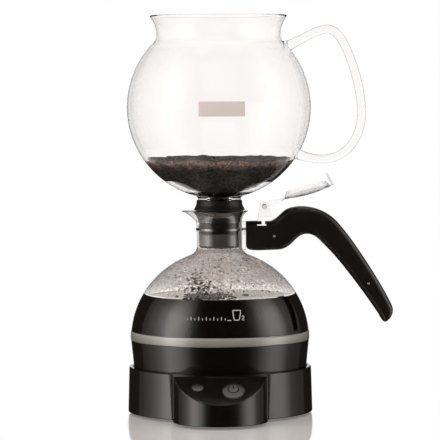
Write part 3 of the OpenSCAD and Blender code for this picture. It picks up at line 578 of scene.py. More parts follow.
gloss_black = moulded_finish("gloss_black", (0.0022, 0.0021, 0.0019), (0.0042, 0.004, 0.0036), (0.09, 0.13),
                             edge=0.0011)
satin_black = moulded_finish("satin_black", (0.003, 0.0028, 0.0024), (0.0055, 0.0052, 0.0045), (0.34, 0.42),
                             1800.0, 0.00001)
matte_black = moulded_finish("matte_black", (0.01, 0.01, 0.01), (0.02, 0.02, 0.02), (0.5, 0.65), 1500.0,
                             0.00006)
button_grey_painted_highlight = button_finish("button_grey_painted_highlight", 0.0255, 0.0345)
sign_black = moulded_finish("sign_black", (0.001, 0.001, 0.001), (0.002, 0.002, 0.002), (0.5, 0.6), shine=0.0)
black_rubber = moulded_finish("black_rubber", (0.004, 0.004, 0.004), (0.008, 0.008, 0.0075), (0.26, 0.36),
                              1500.0, 0.00003)
gasket_rubber = banded_finish("gasket_rubber", 0.1558, 0.1562, (0.085, 0.079, 0.074),
                              (0.009, 0.0087, 0.0082), (0.5, 0.6), 0.1)
collar_rubber = moulded_finish("collar_rubber", (0.005, 0.0048, 0.0045), (0.008, 0.0076, 0.007), (0.34, 0.44),
                               1500.0, 0.00003, shine=0.2)
# Seal ring darker towards its foot: painted shade.
grey_silicone_painted_shade = banded_finish("grey_silicone_painted_shade", 0.0645, 0.0715, (0.15, 0.148, 0.125), (0.29, 0.28, 0.245),
                              (0.16, 0.26), 1.0)
# Lens lighter towards its foot: painted highlight.
dark_lens_painted_highlight = banded_finish("dark_lens_painted_highlight", 0.0305, 0.0345, (0.13, 0.13, 0.125), (0.012, 0.012, 0.0115),
                          (0.2, 0.3), 0.5)
steel = metal_finish("bright_steel", (0.5, 0.5, 0.5), (0.75, 0.75, 0.74), (0.12, 0.3))
band_steel = metal_finish("band_steel", (0.13, 0.13, 0.13), (0.2, 0.2, 0.198), (0.16, 0.26))
screw_steel = metal_finish("screw_steel", (0.6, 0.6, 0.6), (0.8, 0.8, 0.79), (0.5, 0.6))
aluminium = metal_finish("cast_aluminium", (0.5, 0.5, 0.51), (0.7, 0.7, 0.7), (0.35, 0.5))
element_metal = metal_finish("element_sheath", (0.12, 0.11, 0.1), (0.3, 0.28, 0.26), (0.4, 0.6))
brass = metal_finish("contact_brass", (0.6, 0.42, 0.17), (0.78, 0.6, 0.3), (0.2, 0.35))
board_green = moulded_finish("board_green", (0.01, 0.09, 0.03), (0.03, 0.16, 0.06), (0.3, 0.5))
amber = moulded_finish("amber_lamp", (0.7, 0.22, 0.02), (0.85, 0.35, 0.06), (0.1, 0.2))
ceramic = moulded_finish("ceramic_body", (0.55, 0.48, 0.38), (0.7, 0.63, 0.52), (0.5, 0.7))
carafe_clear = clear_finish("carafe_clear_glass", (1.0, 0.975, 0.945), (0.95, 0.92, 0.9), 0.6, 1.48)
neck_clear = clear_finish("neck_clear_glass", (1.0, 0.98, 0.96), (0.9, 0.86, 0.83), 0.6, 1.75)
throat_clear = clear_finish("throat_clear_glass", (1.0, 0.98, 0.96), (0.9, 0.86, 0.83), 0.6, 1.42)
flare_clear = clear_finish("flare_clear_glass", (1.0, 0.98, 0.96), (0.9, 0.86, 0.83), 0.6, 1.5,
                           Coat_Weight=0.4, Coat_IOR=2.1)
shoulder_clear = clear_finish("shoulder_clear_glass", (1.0, 0.985, 0.965), (0.66, 0.62, 0.59), 0.62, 1.2, 0.9)
jug_clear = clear_finish("jug_clear_glass", (1.0, 0.988, 0.978), (0.95, 0.92, 0.89), 0.62, 1.22)
# The rod's and the drops' edge tones are near black: painted shade that draws their dark outlines.
rod_clear = clear_finish("rod_clear_glass", (1.0, 0.99, 0.98), (0.12, 0.11, 0.1), 0.25, 1.36, 0.85)
water_clear = clear_finish("water_clear", (1.0, 0.99, 0.98), (0.03, 0.022, 0.018), 0.03, 1.12, 0.2)
clear_plastic = clear_finish("clear_plastic", (0.985, 0.975, 0.965), (0.5, 0.47, 0.48), 0.4, 1.22)
lid_plastic_painted_shade = lid_finish("lid_plastic_painted_shade")
milky_plastic = clear_finish("milky_plastic", (1.0, 0.99, 0.985), (0.93, 0.92, 0.91), 0.5, 1.1,
                             Roughness=0.25, Transmission_Weight=0.9)
pin_grey = moulded_finish("pin_grey", (0.72, 0.68, 0.66), (0.84, 0.8, 0.78), (0.3, 0.4))
grounds_finish = granule_finish("ground_coffee", (0.009, 0.008, 0.0072), (0.07, 0.058, 0.05),
                                (0.6, 0.38, 0.28), 0.2125)
coffee_finish = moulded_finish("black_coffee", (0.0035, 0.0025, 0.002), (0.006, 0.0042, 0.0032), (0.6, 0.8),
                               shine=0.0)
crema_finish = froth_finish("coffee_froth", (0.95, 0.87, 0.81), (0.2, 0.11, 0.08), 0.059)
bubble_finish = moulded_finish("coffee_bubbles", (0.01, 0.0045, 0.003), (0.03, 0.015, 0.01), (0.15, 0.3))
globe_vapour = vapour_finish("globe_vapour", (0.58, 0.51, 0.47), (0.1, 0.52), 260.0, (0.104, 0.117), 0.1, 0.2)
jug_vapour = vapour_finish("jug_vapour", (0.8, 0.72, 0.66), (0.02, 0.12), 300.0, (0.24, 0.3), 0.75, 0.95)
print_white = moulded_finish("print_white", (0.4, 0.4, 0.385), (0.5, 0.5, 0.48), (0.5, 0.6))
print_beige = moulded_finish("print_beige", (0.55, 0.49, 0.46), (0.62, 0.56, 0.525), (0.5, 0.6))

node_finish = {
    gloss_black: ["base_shell", "heater_cup"],
    satin_black: ["handle_front", "handle_back"],
    matte_black: ["base_cover", "tact_switch", "base_connector", "carafe_socket", "filter_disc"],
    black_rubber: ["foot_ring", "cord_gland"],
    gasket_rubber: ["gasket"],
    button_grey_painted_highlight: ["power_button"],
    dark_lens_painted_highlight: ["indicator_lens"],
    steel: ["base_screws", "board_screws", "heating_plate", "cup_screws", "socket_screws", "handle_screws",
            "filter_spring", "filter_hook"],
    band_steel: ["neck_band"],
    aluminium: ["heat_spreader"],
    element_metal: ["heating_element"],
    brass: ["connector_contacts"],
    board_green: ["control_board"],
    amber: ["indicator_led"],
    ceramic: ["thermostat"],
    grey_silicone_painted_shade: ["seal_ring"],
    carafe_clear: ["carafe_glass"],
    jug_clear: ["jug_glass"],
    rod_clear: ["jug_handle"],
    milky_plastic: ["neck_saddle"],
    clear_plastic: ["lid_bracket"],
    lid_plastic_painted_shade: ["lid"],
    pin_grey: ["lid_pin"],
    coffee_finish: ["brewed_coffee"],
    grounds_finish: ["coffee_grounds"],
}
for material, names in node_finish.items():
    for name in names:
        nodes[name].data.materials.clear()
        nodes[name].data.materials.append(material)


# Glass


def globe_outer():
    """Outer half section of the carafe from the ring up to the rim."""
    fillet = (NECK_R + 9, GLOBE_Z + math.sqrt((GLOBE_R + 9) ** 2 - (NECK_R + 9) ** 2))
    start = math.degrees(math.asin((RING_TOP - GLOBE_Z) / GLOBE_R))
    turn = math.degrees(math.atan2(fillet[1] - GLOBE_Z, fillet[0]))
    return (arc((0, GLOBE_Z), GLOBE_R, start, turn, 90) + arc(fillet, 9, turn + 180, 180, 16)[1:]
            + [(NECK_R, BAND_Z)] + arc(FLARE_AT, 11, 180, 119, 16))


def inner_fillet():
    """Rounding between the carafe's inner globe and its neck: centre, radius and first angle."""
    round_r = 11.0
    center = (NECK_IN + round_r, INNER_Z + math.sqrt((INNER_R + round_r) ** 2 - (NECK_IN + round_r) ** 2))
    return center, round_r, math.degrees(math.atan2(center[1] - INNER_Z, center[0]))


def globe_inner():
    """Inner half section of the carafe, from the ring up to the rim; the wall grows thicker up the globe."""
    fillet, round_r, turn = inner_fillet()
    start = math.degrees(math.asin((RING_TOP - INNER_Z) / INNER_R))
    return (arc((0, INNER_Z), INNER_R, start, turn, 90) + arc(fillet, round_r, turn + 180, 180, 16)[1:]
            + [(NECK_IN, NECK_FOOT), (NECK_IN, BAND_Z)]
            + arc(FLARE_AT, FLARE_AT[0] - NECK_IN, 180, 126.9, 16))


def pull_lip(bm):
    """Draws the rim out into a pouring lip towards -X."""
    reach, half_turn, foot = 8.2, math.radians(24), 165.0
    for v in bm.verts:
        turn = math.atan2(v.co.y, -v.co.x)
        share = math.exp(-(turn / half_turn) ** 2) * min(max((v.co.z - foot) / (MOUTH_Z - foot), 0), 1)
        out = Vector((v.co.x, v.co.y, 0)).normalized()
        v.co += out * reach * share


def make_carafe():
    """Glass carafe, with a glass of its own at the shoulder, in the neck, in the throat and in the flare."""
    outer, inner = globe_outer(), globe_inner()
    bm = bmesh.new()
    revolve(bm, outer + crest(outer[-1], inner[-1], 0.4) + inner[::-1])
    pull_lip(bm)
    obj = mesh_object("carafe_glass_blown", bm)
    shade(obj)
    settle(obj, "carafe", carafe_clear, ["carafe_glass"])
    starts = [(COFFEE_Z + 0.8, shoulder_clear), (NECK_FOOT, neck_clear), (BAND_Z, throat_clear),
              (FLARE_Z, flare_clear)]
    for _, finish in starts:
        obj.data.materials.append(finish)
    for face in obj.data.polygons:
        face.material_index = sum(face.center.z / MM > start for start, _ in starts)


def bowl_section(radius, center_z, low_round, high_round, low):
    """Half section of the jug's bowl from a height up to the rim."""
    waist_low, waist_high = 61.6, 80.1
    waist_z = BOWL_Z + math.sqrt((BOWL_R + 8) ** 2 - waist_low ** 2)
    start = math.degrees(math.asin((low - center_z) / radius))
    turn = math.degrees(math.atan2(waist_z - center_z, waist_low))
    end = 180 - math.degrees(math.asin((RIM_Z - 1 - waist_z) / high_round))
    return (arc((0, center_z), radius, start, turn, 130)
            + arc((waist_low, waist_z), low_round, turn + 180, 180, 16)[1:]
            + arc((waist_high, waist_z), high_round, 180, end, 20)[1:])


def make_jug():
    """Glass jug: the bowl, its foot and its stem in one wall."""
    outer = [(10.8, 76.6), (10.8, 166), (11.4, 168), (13.2, 170.6), (14, 172.6), (14, 185.0), (14.4, 185.2),
             (18.2, 185.2), (18.6, 185.6), (18.6, 186.0)] + arc((21.6, 185.9), 3, 180, 105, 6)[1:]
    outer += bowl_section(BOWL_R, BOWL_Z, 8, 26.5, 188.8)
    inner = bowl_section(BOWL_IN_R, BOWL_IN_Z, 9.8, 28.3, BOWL_FLOOR + 0.4)
    inner = [(9.0, 76.6), (9.0, 192.8), (9.4, 193.7), (10.2, BOWL_FLOOR), (29.0, BOWL_FLOOR)] + inner
    turned_piece("jug_glass_blown", outer + crest(outer[-1], inner[-1], 1.0) + inner[::-1], "jug", jug_clear,
                 ["jug_glass"])


ROD_SPANS = [
    [(56, 316.5), (68, 321), (82, 331), (93, 332.4)],
    [(93, 332.4), (101, 333), (107, 325), (112.8, 310)],
    [(112.8, 310), (118.5, 296), (123.3, 277), (123.5, 260.8)],
    [(123.5, 260.8), (123.8, 241), (113, 224.5), (97, 221)],
    [(97, 221), (87, 218.3), (75, 221.5), (64, 226)],
]


def along(spans, steps):
    """Places along a chain of curves, each as its curve and the share of it."""
    return [(span, i / steps) for span in spans for i in range(steps)] + [(spans[-1], 1.0)]


def make_jug_handle():
    """Glass rod of the jug's handle, wider where it meets the bowl."""
    rod_r, flare, reach, sides = 3.7, 2.6, 5.0, 40
    places = along(ROD_SPANS, 100)
    points = [cubic(span, t) for span, t in places]
    run = [0.0]
    for a, b in zip(points, points[1:]):
        run.append(run[-1] + (b - a).length)
    rings = []
    for i, at in enumerate(points):
        way = (points[min(i + 1, len(points) - 1)] - points[max(i - 1, 0)]).normalized()
        normal = Vector((-way.y, way.x))
        radius = rod_r + flare * math.exp(-min(run[i], run[-1] - run[i]) / reach)
        turns = [2 * math.pi * k / sides for k in range(sides)]
        rings.append([(at.x + normal.x * radius * math.cos(t), radius * math.sin(t),
                       at.y + normal.y * radius * math.cos(t)) for t in turns])
    bm = bmesh.new()
    sweep(bm, rings)
    obj = mesh_object("jug_handle_drawn", bm)
    bm = bmesh.new()
    bmesh.ops.create_uvsphere(bm, u_segments=160, v_segments=120, radius=BOWL_R + 0.05,
                              matrix=Matrix.Translation((0, 0, BOWL_Z)))
    cut(obj, mesh_object("bowl_cutter", bm))
    shade(obj)
    settle(obj, "jug", rod_clear, ["jug_handle"])


# Carafe handle

HANDLE_SPANS = [
    ([(22.9, 166.4), (30, 166.5), (37, 166.6), (44, 166.8)],
     [(22.9, 145.8), (22.9, 140.6), (30, 141.2), (50, 142)]),
    ([(44, 166.8), (50, 166.8), (54.6, 176.8), (62.3, 178)],
     [(50, 142), (56, 142.2), (59.8, 144.9), (63.1, 148.1)]),
    ([(62.3, 178), (67.3, 179.4), (74.6, 179.7), (82.4, 177.5)],
     [(63.1, 148.1), (67.2, 152.1), (70, 155.6), (76, 155.6)]),
    ([(82.4, 177.5), (90.3, 175.3), (98.5, 170.8), (104.7, 162.7)],
     [(76, 155.6), (82.3, 155.6), (86.2, 150.7), (93.7, 143)]),
    ([(104.7, 162.7), (115.3, 151.1), (139.9, 113.2), (148.9, 93.8)],
     [(93.7, 143), (105.7, 131.2), (127.6, 100.8), (138.1, 84.8)]),
    ([(148.9, 93.8), (150.8, 89.7), (150.2, 85.8), (147.9, 82.9)],
     [(138.1, 84.8), (139.2, 83), (140.3, 78.9), (143.8, 79)]),
]


def handle_ring(top, bottom, side):
    """Half section of the handle between an upper and a lower point, with a rounded edge and a fine seam."""
    width, corner, seam, seam_round = 11.0, 5.0, 0.1, 0.5
    up = (top - bottom).normalized()
    middle, half = (top + bottom) / 2, (top - bottom).length / 2
    r = min(corner, 0.85 * half)
    seam_round = min(seam_round, 0.1 * half)
    upper = arc((seam + seam_round, half - seam_round), seam_round, 180, 90, 3)
    upper += arc((width - r, half - r), r, 90, 0, 8)
    lower = [(y, -z) for y, z in upper[::-1]]
    return [(middle.x + up.x * z, side * y, middle.y + up.y * z) for y, z in upper + lower]


def screw_rods(bm, radius, y, length, sides):
    """Rods through the handle at the places of its screws."""
    for x, z in SCREWS_AT:
        place = Matrix.Translation((x, y, z)) @ Matrix.Rotation(math.pi / 2, 4, "X")
        bmesh.ops.create_cone(bm, cap_ends=True, segments=sides, radius1=radius, radius2=radius, depth=length,
                              matrix=place)


def make_handle():
    """Two shells of the carafe's handle, cut out for the lid bracket's foot and, in front, for the screws."""
    shells = (("handle_shell_front", -1, "handle_front"), ("handle_shell_back", 1, "handle_back"))
    for name, side, solid in shells:
        bm = bmesh.new()
        sweep(bm, [handle_ring(cubic(top, t), cubic(bottom, t), side)
                   for (top, bottom), t in along(HANDLE_SPANS, 24)])
        obj = mesh_object(name, bm)
        cut_block(obj, (32.5, -12, 163.1), (40.7, 12, 164.3))
        cut_block(obj, (36.4, -12, 163.7), (39.5, 12, 170))
        if side < 0:
            tool = bmesh.new()
            screw_rods(tool, 1.4, 0, 30, 32)
            cut(obj, mesh_object("screw_cutter", tool))
        shade(obj, 30)
        settle(obj, "carafe", satin_black, [solid])


# Coffee


def make_coffee():
    """Coffee that fills the globe to its glass, the pale froth on it and the dark bubbles in the froth."""
    wet, climb, bore = 0.3, 0.3, 11.2
    start = math.degrees(math.asin((RING_TOP - INNER_Z) / (INNER_R + wet)))
    end = math.degrees(math.asin((COFFEE_Z + climb - INNER_Z) / (INNER_R + wet)))
    side = arc((0, INNER_Z), INNER_R + wet, start, end, 30)
    edge = side[-1][0]
    fill = [(bore, 68.2), (72.2, 68.2), (72.2, RING_TOP)] + side + [(edge - 1.2, COFFEE_Z), (bore, COFFEE_Z)]
    turned_piece("coffee_fill", fill, "carafe", coffee_finish, ["brewed_coffee"])
    froth = [(11.4, COFFEE_Z + 0.05), (edge - 1.2, COFFEE_Z + 0.05), (edge - 0.9, COFFEE_Z + 0.3),
             (edge - 1.2, COFFEE_Z + 0.5), (11.4, COFFEE_Z + 0.45)]
    turned_piece("coffee_froth", froth, "carafe", crema_finish)
    rng = random.Random(11)
    bubbles = []
    for _ in range(190):
        at = (rng.gauss(-12, 10), rng.uniform(-61, -5), COFFEE_Z + 0.5)
        bubbles.append((at, (0, 0, 1), rng.uniform(0.6, 2.3), 0.8))
    settle(bead_piece("coffee_bubbles", bubbles), "carafe", bubble_finish)


def bead(bm, at, out, radius, height):
    """A small round drop that sits at a point, flattened along the direction it faces."""
    turn = Vector((0, 0, 1)).rotation_difference(Vector(out)).to_matrix().to_4x4()
    place = Matrix.Translation(at) @ turn @ Matrix.Diagonal((radius, radius, radius * height, 1))
    bmesh.ops.create_uvsphere(bm, u_segments=8, v_segments=6, radius=1, matrix=place)


def bead_piece(name, beads):
    """One object of many drops, joined in small lots because adding to a large mesh is slow."""
    lot = 40
    whole = bmesh.new()
    for first in range(0, len(beads), lot):
        part = bmesh.new()
        for at, out, radius, height in beads[first:first + lot]:
            bead(part, at, out, radius, height)
        mesh = bpy.data.meshes.new("lot")
        part.to_mesh(mesh)
        part.free()
        whole.from_mesh(mesh)
        bpy.data.meshes.remove(mesh)
    obj = mesh_object(name, whole)
    shade(obj, 180)
    return obj


def make_droplets():
    """Drops of water on the carafe's inner wall: a close patch in front, and others scattered all round."""
    rng = random.Random(23)
    spots = []
    for _ in range(95):
        spots.append((rng.gauss(-15.0, 6.5), rng.gauss(114, 5.0), rng.uniform(0.6, 1.7)))
    for _ in range(190):
        spots.append((rng.uniform(-44, 44), rng.uniform(108, 136), rng.uniform(0.45, 1.0)))
    beads = []
    wall, flat = INNER_R + 0.15, 0.5
    middle = Vector((0, 0, INNER_Z))
    for x, z, size in spots:
        deep = wall ** 2 - (z - INNER_Z) ** 2 - x ** 2
        if deep > 0 and z > COFFEE_Z + 2:
            at = Vector((x, -math.sqrt(deep), z))
            beads.append((at, (middle - at).normalized(), size, flat))
    for _ in range(260):
        turn = rng.uniform(0, 2 * math.pi)
        z = rng.uniform(COFFEE_Z + 3, 133)
        reach = math.sqrt(wall ** 2 - (z - INNER_Z) ** 2)
        at = Vector((reach * math.cos(turn), reach * math.sin(turn), z))
        beads.append((at, (middle - at).normalized(), rng.uniform(0.3, 0.7), flat))
    settle(bead_piece("water_drops", beads), "carafe", water_clear)


def specks(bm, rng):
    """Loose grains on the grounds' top and along its edge."""
    for _ in range(420):
        turn = rng.uniform(0, 2 * math.pi)
        reach = 60.5 * math.sqrt(rng.uniform(0.25, 1))
        size = rng.uniform(0.35, 0.9)
        at = Vector((reach * math.cos(turn), reach * math.sin(turn), GROUNDS_Z - 0.3))
        shape = Matrix.Diagonal((size, 0.7 * size, 0.9 * size, 1))
        place = Matrix.Translation(at) @ Matrix.Rotation(turn, 4, "Z") @ shape
        bmesh.ops.create_icosphere(bm, subdivisions=1, radius=1, matrix=place)


def draw_from_sides(bm, low):
    """Draws the foot of the grounds away from the glass to the left, and less to the right."""
    draw_in, begin, left, right = 6.0, 0.35, 1.0, 0.8
    for v in bm.verts:
        deep = max((GROUNDS_Z - v.co.z) / (GROUNDS_Z - low) - begin, 0)
        out = Vector((v.co.x, v.co.y, 0))
        if deep and out.length > 26:
            across = abs(v.co.x) / out.length
            share = min(max((across - 0.5) / 0.35, 0), 1) * (left if v.co.x < 0 else right)
            v.co -= out.normalized() * draw_in * deep ** 2 * share


def make_grounds():
    """Ground coffee that fills the foot of the bowl, with an uneven top."""
    rng = random.Random(5)
    low, wet = BOWL_FLOOR + 0.3, 0.5
    heights = [low + (GROUNDS_Z - low) * i / 24 for i in range(25)]
    side = [(math.sqrt(BOWL_IN_R ** 2 - (z - BOWL_IN_Z) ** 2) + wet, z) for z in heights]
    top = [(side[-1][0] * (1 - i / 24), GROUNDS_Z - 0.6 + 0.6 * (1 - i / 24)) for i in range(1, 25)]
    bm = bmesh.new()
    revolve(bm, [(0, 198.9), (24.4, 198.9), (24.4, low)] + side + top, closed=False)
    draw_from_sides(bm, low)
    specks(bm, rng)
    full = 2 * math.pi
    waves = [(rng.uniform(0.05, 0.5), rng.uniform(0, full), rng.uniform(0, full)) for _ in range(24)]
    for v in bm.verts:
        if v.co.z > GROUNDS_Z - 1.5:
            wave = sum(math.sin(f * (v.co.x * math.cos(a) + v.co.y * math.sin(a)) + p) for f, a, p in waves)
            v.co.z += 0.22 * wave
    obj = mesh_object("ground_coffee_bed", bm)
    shade(obj, 60)
    settle(obj, "jug", grounds_finish, ["coffee_grounds"])


def make_vapour_films():
    """Thin films of condensed vapour at the inner walls of the carafe and the jug."""
    gap, thick = 0.3, 0.12
    fillet, round_r, turn = inner_fillet()
    start = math.degrees(math.asin((COFFEE_Z + 1.2 - INNER_Z) / INNER_R))
    near, far = [arc((0, INNER_Z), INNER_R + inset, start, turn, 40)
                 + arc(fillet, round_r - inset, turn + 180, 181, 12)[1:]
                 for inset in (gap + thick, gap)]
    turned_piece("globe_vapour_film", near + far[::-1], "carafe", globe_vapour, sharp=60)
    near, far = [arc((0, BOWL_IN_Z), BOWL_IN_R - inset, -30, 42, 50) for inset in (gap, gap + thick)]
    turned_piece("jug_vapour_film", near + far[::-1], "jug", jug_vapour, sharp=60)


# Gasket


def make_gasket():
    """Rubber gasket: a collar above the mouth, a plug in the flare, and a ribbed sleeve in the neck."""
    rib = NECK_IN - 0.3
    plug = arc(FLARE_AT, FLARE_AT[0] - rib, 137, 180, 10)
    outer = [(10.9, 143.7), (17.0, 143.7), (17.9, 145.0), (17.9, 155.9)]
    outer += arc((rib - 1, 157.0), 1, -60, 60, 6)
    outer += [(16.9, 158.6), (16.9, 160.6)] + arc((rib - 1.2, 162.4), 1.2, -60, 60, 6) + [(rib - 0.9, 164.4)]
    collar = [(20.9, 175.9), (20.9, 176.3)] + arc((21.2, 177.1), 0.8, -90, 60, 6)
    collar += [(20.2, 180.6), (19.9, 181.4)] + arc((18.9, 184.4), 0.8, 0, 90, 5)
    bore = [(14.1, 185.2), (14.1, 172.1), (10.9, 166.1)]
    sleeve = outer + plug[::-1] + [(20.9, 175.4), (14.1, 175.4)] + bore[1:]
    turned_piece("gasket_sleeve", sleeve, "jug", gasket_rubber, ["gasket"], 35)
    collar = [(14.1, 175.5), (20.9, 175.5)] + collar + bore[:1]
    turned_piece("gasket_collar", collar, "jug", collar_rubber, sharp=35)


# Screws, signs and prints


def make_screws():
    """Domed heads and shanks of the two handle screws."""
    bm = bmesh.new()
    for x, z in SCREWS_AT:
        head = Matrix.Translation((x, -10.2, z)) @ Matrix.Diagonal((1.25, 0.75, 1.25, 1))
        bmesh.ops.create_uvsphere(bm, u_segments=24, v_segments=14, radius=1, matrix=head)
    screw_rods(bm, 1.0, -1, 18, 24)
    obj = mesh_object("handle_screw_heads", bm)
    shade(obj)
    settle(obj, "carafe", screw_steel, ["handle_screws"])


def ribbon(bm, middle, half, lift):
    """A flat strip along a line of points in a plane, laid on a surface by lift."""
    left, right = [], []
    for i, at in enumerate(middle):
        way = (Vector(middle[min(i + 1, len(middle) - 1)]) - Vector(middle[max(i - 1, 0)])).normalized()
        side = Vector((-way.y, way.x)) * half
        left.append(bm.verts.new(lift(at[0] + side.x, at[1] + side.y)))
        right.append(bm.verts.new(lift(at[0] - side.x, at[1] - side.y)))
    for i in range(len(middle) - 1):
        bm.faces.new((left[i], right[i], right[i + 1], left[i + 1]))


def thicken(bm, depth):
    """Gives a thin print its depth."""
    bmesh.ops.recalc_face_normals(bm, faces=bm.faces[:])
    bmesh.ops.solidify(bm, geom=bm.faces[:], thickness=depth)
    bmesh.ops.recalc_face_normals(bm, faces=bm.faces[:])


def make_power_sign():
    """Plain on and off sign on the button: an open ring with a bar."""
    rise, dome_r, button_r, proud, up = 1.3, 45.0, 9.0, 0.06, 0.5
    ring_r, half = 4.5, 0.55
    drop = math.sqrt(dome_r ** 2 - button_r ** 2)

    def lift(u, v):
        height = rise + math.sqrt(dome_r ** 2 - u * u - v * v) - drop + proud
        return on_panel(BUTTON_AT[0] + u, BUTTON_AT[1] - v - up, height)

    bm = bmesh.new()
    turns = [math.radians(125 + 290 * i / 40) for i in range(41)]
    ribbon(bm, [(ring_r * math.cos(t), ring_r * math.sin(t)) for t in turns], half, lift)
    ribbon(bm, [(0, 0.2 + 5.2 * i / 6) for i in range(7)], half, lift)
    thicken(bm, 0.05)
    obj = mesh_object("power_sign", bm)
    settle(obj, "button", sign_black)


def make_level_mark():
    """Plain level mark on the carafe: a row of ticks, a dash, a cup's outline and a number."""
    proud, line, foot = 0.06, 0.3, 87.0

    def lift(x, z):
        return Vector((x, -math.sqrt((GLOBE_R + proud) ** 2 - (z - GLOBE_Z) ** 2 - x * x), z))

    bm = bmesh.new()
    for i in range(11):
        x = -27.5 + 3.2 * i
        ribbon(bm, [(x, foot), (x, foot + 1.2), (x, foot + 1.6 + 1.2 * (i % 2))], line, lift)
    ribbon(bm, [(6.3, 86.9), (8.0, 86.9), (9.6, 86.9)], line, lift)
    cup = [(10.9, 95.0), (11.2, 92.0), (11.7, 89.0), (12.3, 87.2), (14.2, 87.0), (16.1, 87.2), (16.7, 89.0),
           (17.2, 92.0), (17.5, 95.0), (14.2, 95.1), (10.9, 95.0), (10.95, 94.5)]
    ribbon(bm, cup, 0.36, lift)
    number = [(18.6, 89.9), (19.2, 90.5), (20.0, 90.4), (20.3, 89.7), (19.9, 88.9), (18.6, 87.2),
              (20.6, 87.1)]
    ribbon(bm, number, line, lift)
    thicken(bm, 0.04)
    obj = mesh_object("level_mark", bm)
    settle(obj, "carafe", print_white)


def make_print_plate():
    """Bare printed plate on the front of the jug."""
    middle, size, proud = (2.5, 265.1), (39.0, 12.6), 0.05
    bm = bmesh.new()
    bmesh.ops.create_grid(bm, x_segments=24, y_segments=8, size=0.5)
    for v in bm.verts:
        x = middle[0] + size[0] * v.co.x
        z = middle[1] + size[1] * v.co.y
        v.co = (x, -math.sqrt((BOWL_R + proud) ** 2 - (z - BOWL_Z) ** 2 - x * x), z)
    thicken(bm, 0.04)
    obj = mesh_object("print_plate", bm)
    settle(obj, "jug", print_beige)


make_carafe()
make_jug()
make_jug_handle()
make_handle()
make_coffee()
make_grounds()
make_vapour_films()
make_droplets()
make_gasket()
make_screws()
make_power_sign()
make_level_mark()
make_print_plate()


# Studio


def plain_sight(tree, behind):
    """Light path, and where white is seen: by the camera, and through glass that doesn't turn it forward."""
    path = tree.nodes.new("ShaderNodeLightPath")
    straight = math_node(tree, "LESS_THAN", path.outputs["Glossy Depth"], 0.5)
    scattered = math_node(tree, "GREATER_THAN", path.outputs["Diffuse Depth"], 0.5)
    pale = math_node(tree, "MAXIMUM", math_node(tree, "MAXIMUM", straight, scattered), behind)
    through = math_node(tree, "MULTIPLY", path.outputs["Is Transmission Ray"], pale)
    return path, math_node(tree, "MAXIMUM", path.outputs["Is Camera Ray"], through)


def make_floor():
    """White table that mirrors the base a little in an oval and is plain white beyond it."""
    half_width, half_depth, border = 0.0797, 0.43, 0.985
    bm = bmesh.new()
    under = Matrix.Translation((0, 0, -0.0002))
    bmesh.ops.create_grid(bm, x_segments=1, y_segments=1, size=4.0, matrix=under)
    mesh = bpy.data.meshes.new("table_top")
    bm.to_mesh(mesh)
    bm.free()
    floor = bpy.data.objects.new("table_top", mesh)
    scene.collection.objects.link(floor)
    floor.visible_glossy = False
    material, tree, shader = finish_base("white_table")
    tree.nodes.remove(shader)
    place = object_place(tree)
    reach = flat_length(tree, place, (1 / half_width, 1 / half_depth, 0))
    away = spread(tree, reach, border, 1.0, 0.3, 1.0)
    near = spread(tree, reach, border, 1.0, 1.0, 0.0)
    path, plain = plain_sight(tree, spread(tree, axes(tree, place)[1], -0.2, -0.1))
    seen = math_node(tree, "MAXIMUM", path.outputs["Is Camera Ray"], path.outputs["Is Transmission Ray"])
    turned = math_node(tree, "SUBTRACT", seen, plain)
    paint = tree.nodes.new("ShaderNodeBsdfDiffuse")
    paint.inputs["Color"].default_value = (0.93, 0.85, 0.82, 1)
    glow = tree.nodes.new("ShaderNodeEmission")
    tree.links.new(mix_colors(tree, plain, (0.04, 0.04, 0.04), (1.0, 1.0, 1.0)), glow.inputs["Color"])
    table = tree.nodes.new("ShaderNodeMixShader")
    share = math_node(tree, "MAXIMUM", math_node(tree, "MULTIPLY", away, seen), turned)
    tree.links.new(share, table.inputs["Fac"])
    tree.links.new(paint.outputs[0], table.inputs[1])
    tree.links.new(glow.outputs[0], table.inputs[2])
    mirror = tree.nodes.new("ShaderNodeBsdfGlossy")
    mirror.inputs["Roughness"].default_value = 0.04
    fresnel = tree.nodes.new("ShaderNodeFresnel")
    fresnel.inputs["IOR"].default_value = 1.5
    polish = tree.nodes.new("ShaderNodeMixShader")
    tree.links.new(math_node(tree, "MULTIPLY", fresnel.outputs[0], near), polish.inputs["Fac"])
    tree.links.new(table.outputs[0], polish.inputs[1])
    tree.links.new(mirror.outputs[0], polish.inputs[2])
    tree.links.new(polish.outputs[0], tree.nodes["Material Output"].inputs["Surface"])
    mesh.materials.append(material)


def soft_light(tree, front, levels):
    """A tall soft light: its level at each angle round from the camera's side, in degrees."""
    ramp_node = tree.nodes.new("ShaderNodeValToRGB")
    tree.links.new(spread(tree, front, -1.0, 1.0), ramp_node.inputs["Fac"])
    ramp = ramp_node.color_ramp
    while len(ramp.elements) < len(levels):
        ramp.elements.new(0.5)
    for element, (angle, level) in zip(ramp.elements, levels):
        element.position = (1 - math.cos(math.radians(angle))) / 2
        element.color = (level, level * 0.95, level * 0.92, 1)
    return ramp_node.outputs["Color"]


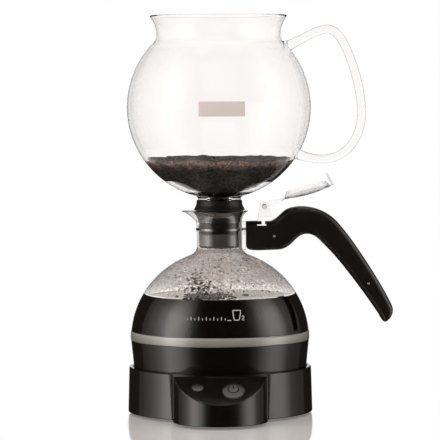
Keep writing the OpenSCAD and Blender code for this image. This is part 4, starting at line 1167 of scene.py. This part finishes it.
def make_world():
    """White for the camera and through glass; two tall soft lights to the sides, dark between, for gloss."""
    world = bpy.data.worlds.new("studio")
    scene.world = world
    world.use_nodes = True
    tree = world.node_tree
    background = tree.nodes["Background"]
    x, y, z = axes(tree, tree.nodes.new("ShaderNodeTexCoord").outputs["Generated"])
    flat = math_node(tree, "SQRT", math_node(tree, "MULTIPLY_ADD", x, x, math_node(tree, "MULTIPLY", y, y)))
    front = math_node(tree, "DIVIDE", y, math_node(tree, "MAXIMUM", flat, 0.001))
    left = soft_light(tree, front, [
        (18, 0.03), (26, 0.1), (36, 0.55), (47, 3.0), (58, 4.9), (70, 5.6), (84, 2.5), (98, 1.1), (115, 0.38),
        (121, 0.33), (124.5, 0.07), (150, 0.03)])
    right = soft_light(tree, front, [
        (18, 0.03), (37, 0.12), (48, 0.68), (60, 2.5), (72, 4.0), (85, 3.4), (100, 0.82), (116, 0.35),
        (128, 0.25), (131.5, 0.06), (152, 0.03)])
    side = mix_colors(tree, spread(tree, x, -0.01, 0.01), left, right)
    tall = math_node(tree, "MULTIPLY", spread(tree, z, -0.42, 0.2, 0.4, 1.0),
                     spread(tree, z, 0.45, 0.85, 1.0, 0.1))
    lights = tree.nodes.new("ShaderNodeVectorMath")
    lights.operation = "SCALE"
    tree.links.new(side, lights.inputs[0])
    tree.links.new(tall, lights.inputs["Scale"])
    backdrop = math_node(tree, "MULTIPLY", spread(tree, y, 0.98, 0.99), spread(tree, z, -0.02, 0.02))
    path, plain = plain_sight(tree, spread(tree, y, -0.35, 0.0))
    mirrored = math_node(tree, "MULTIPLY", path.outputs["Is Glossy Ray"], backdrop)
    white = math_node(tree, "MAXIMUM", plain, mirrored)
    tree.links.new(mix_colors(tree, white, lights.outputs[0], (1.0, 1.0, 1.0)), background.inputs["Color"])


def make_lamps():
    """Soft light from above and in front, kept out of the gloss."""
    lamps = (("front_soft", (0.0, -1.6, 1.6), 1.6, 16.0), ("top_soft", (0.0, 0.2, 1.9), 1.4, 12.0))
    for name, place, size, power in lamps:
        lamp = bpy.data.lights.new(name, "AREA")
        lamp.size = size
        lamp.energy = power
        obj = bpy.data.objects.new(name, lamp)
        obj.location = place
        obj.rotation_mode = "QUATERNION"
        obj.rotation_quaternion = (Vector((0, 0, 0.15)) - Vector(place)).to_track_quat("-Z", "Y")
        obj.visible_glossy = False
        obj.visible_camera = False
        scene.collection.objects.link(obj)


def make_camera():
    """The photograph's view: level with the jug, far off, looking a little down."""
    data = bpy.data.cameras.new("photo_view")
    data.sensor_width = 36.0
    data.lens = 224.8
    camera = bpy.data.objects.new("photo_view", data)
    camera.location = (0.0012, -2.380, 0.3015)
    camera.rotation_euler = (math.radians(90 - 3.22), math.radians(0.3), 0)
    scene.collection.objects.link(camera)
    scene.camera = camera


make_floor()
make_world()
make_lamps()
make_camera()
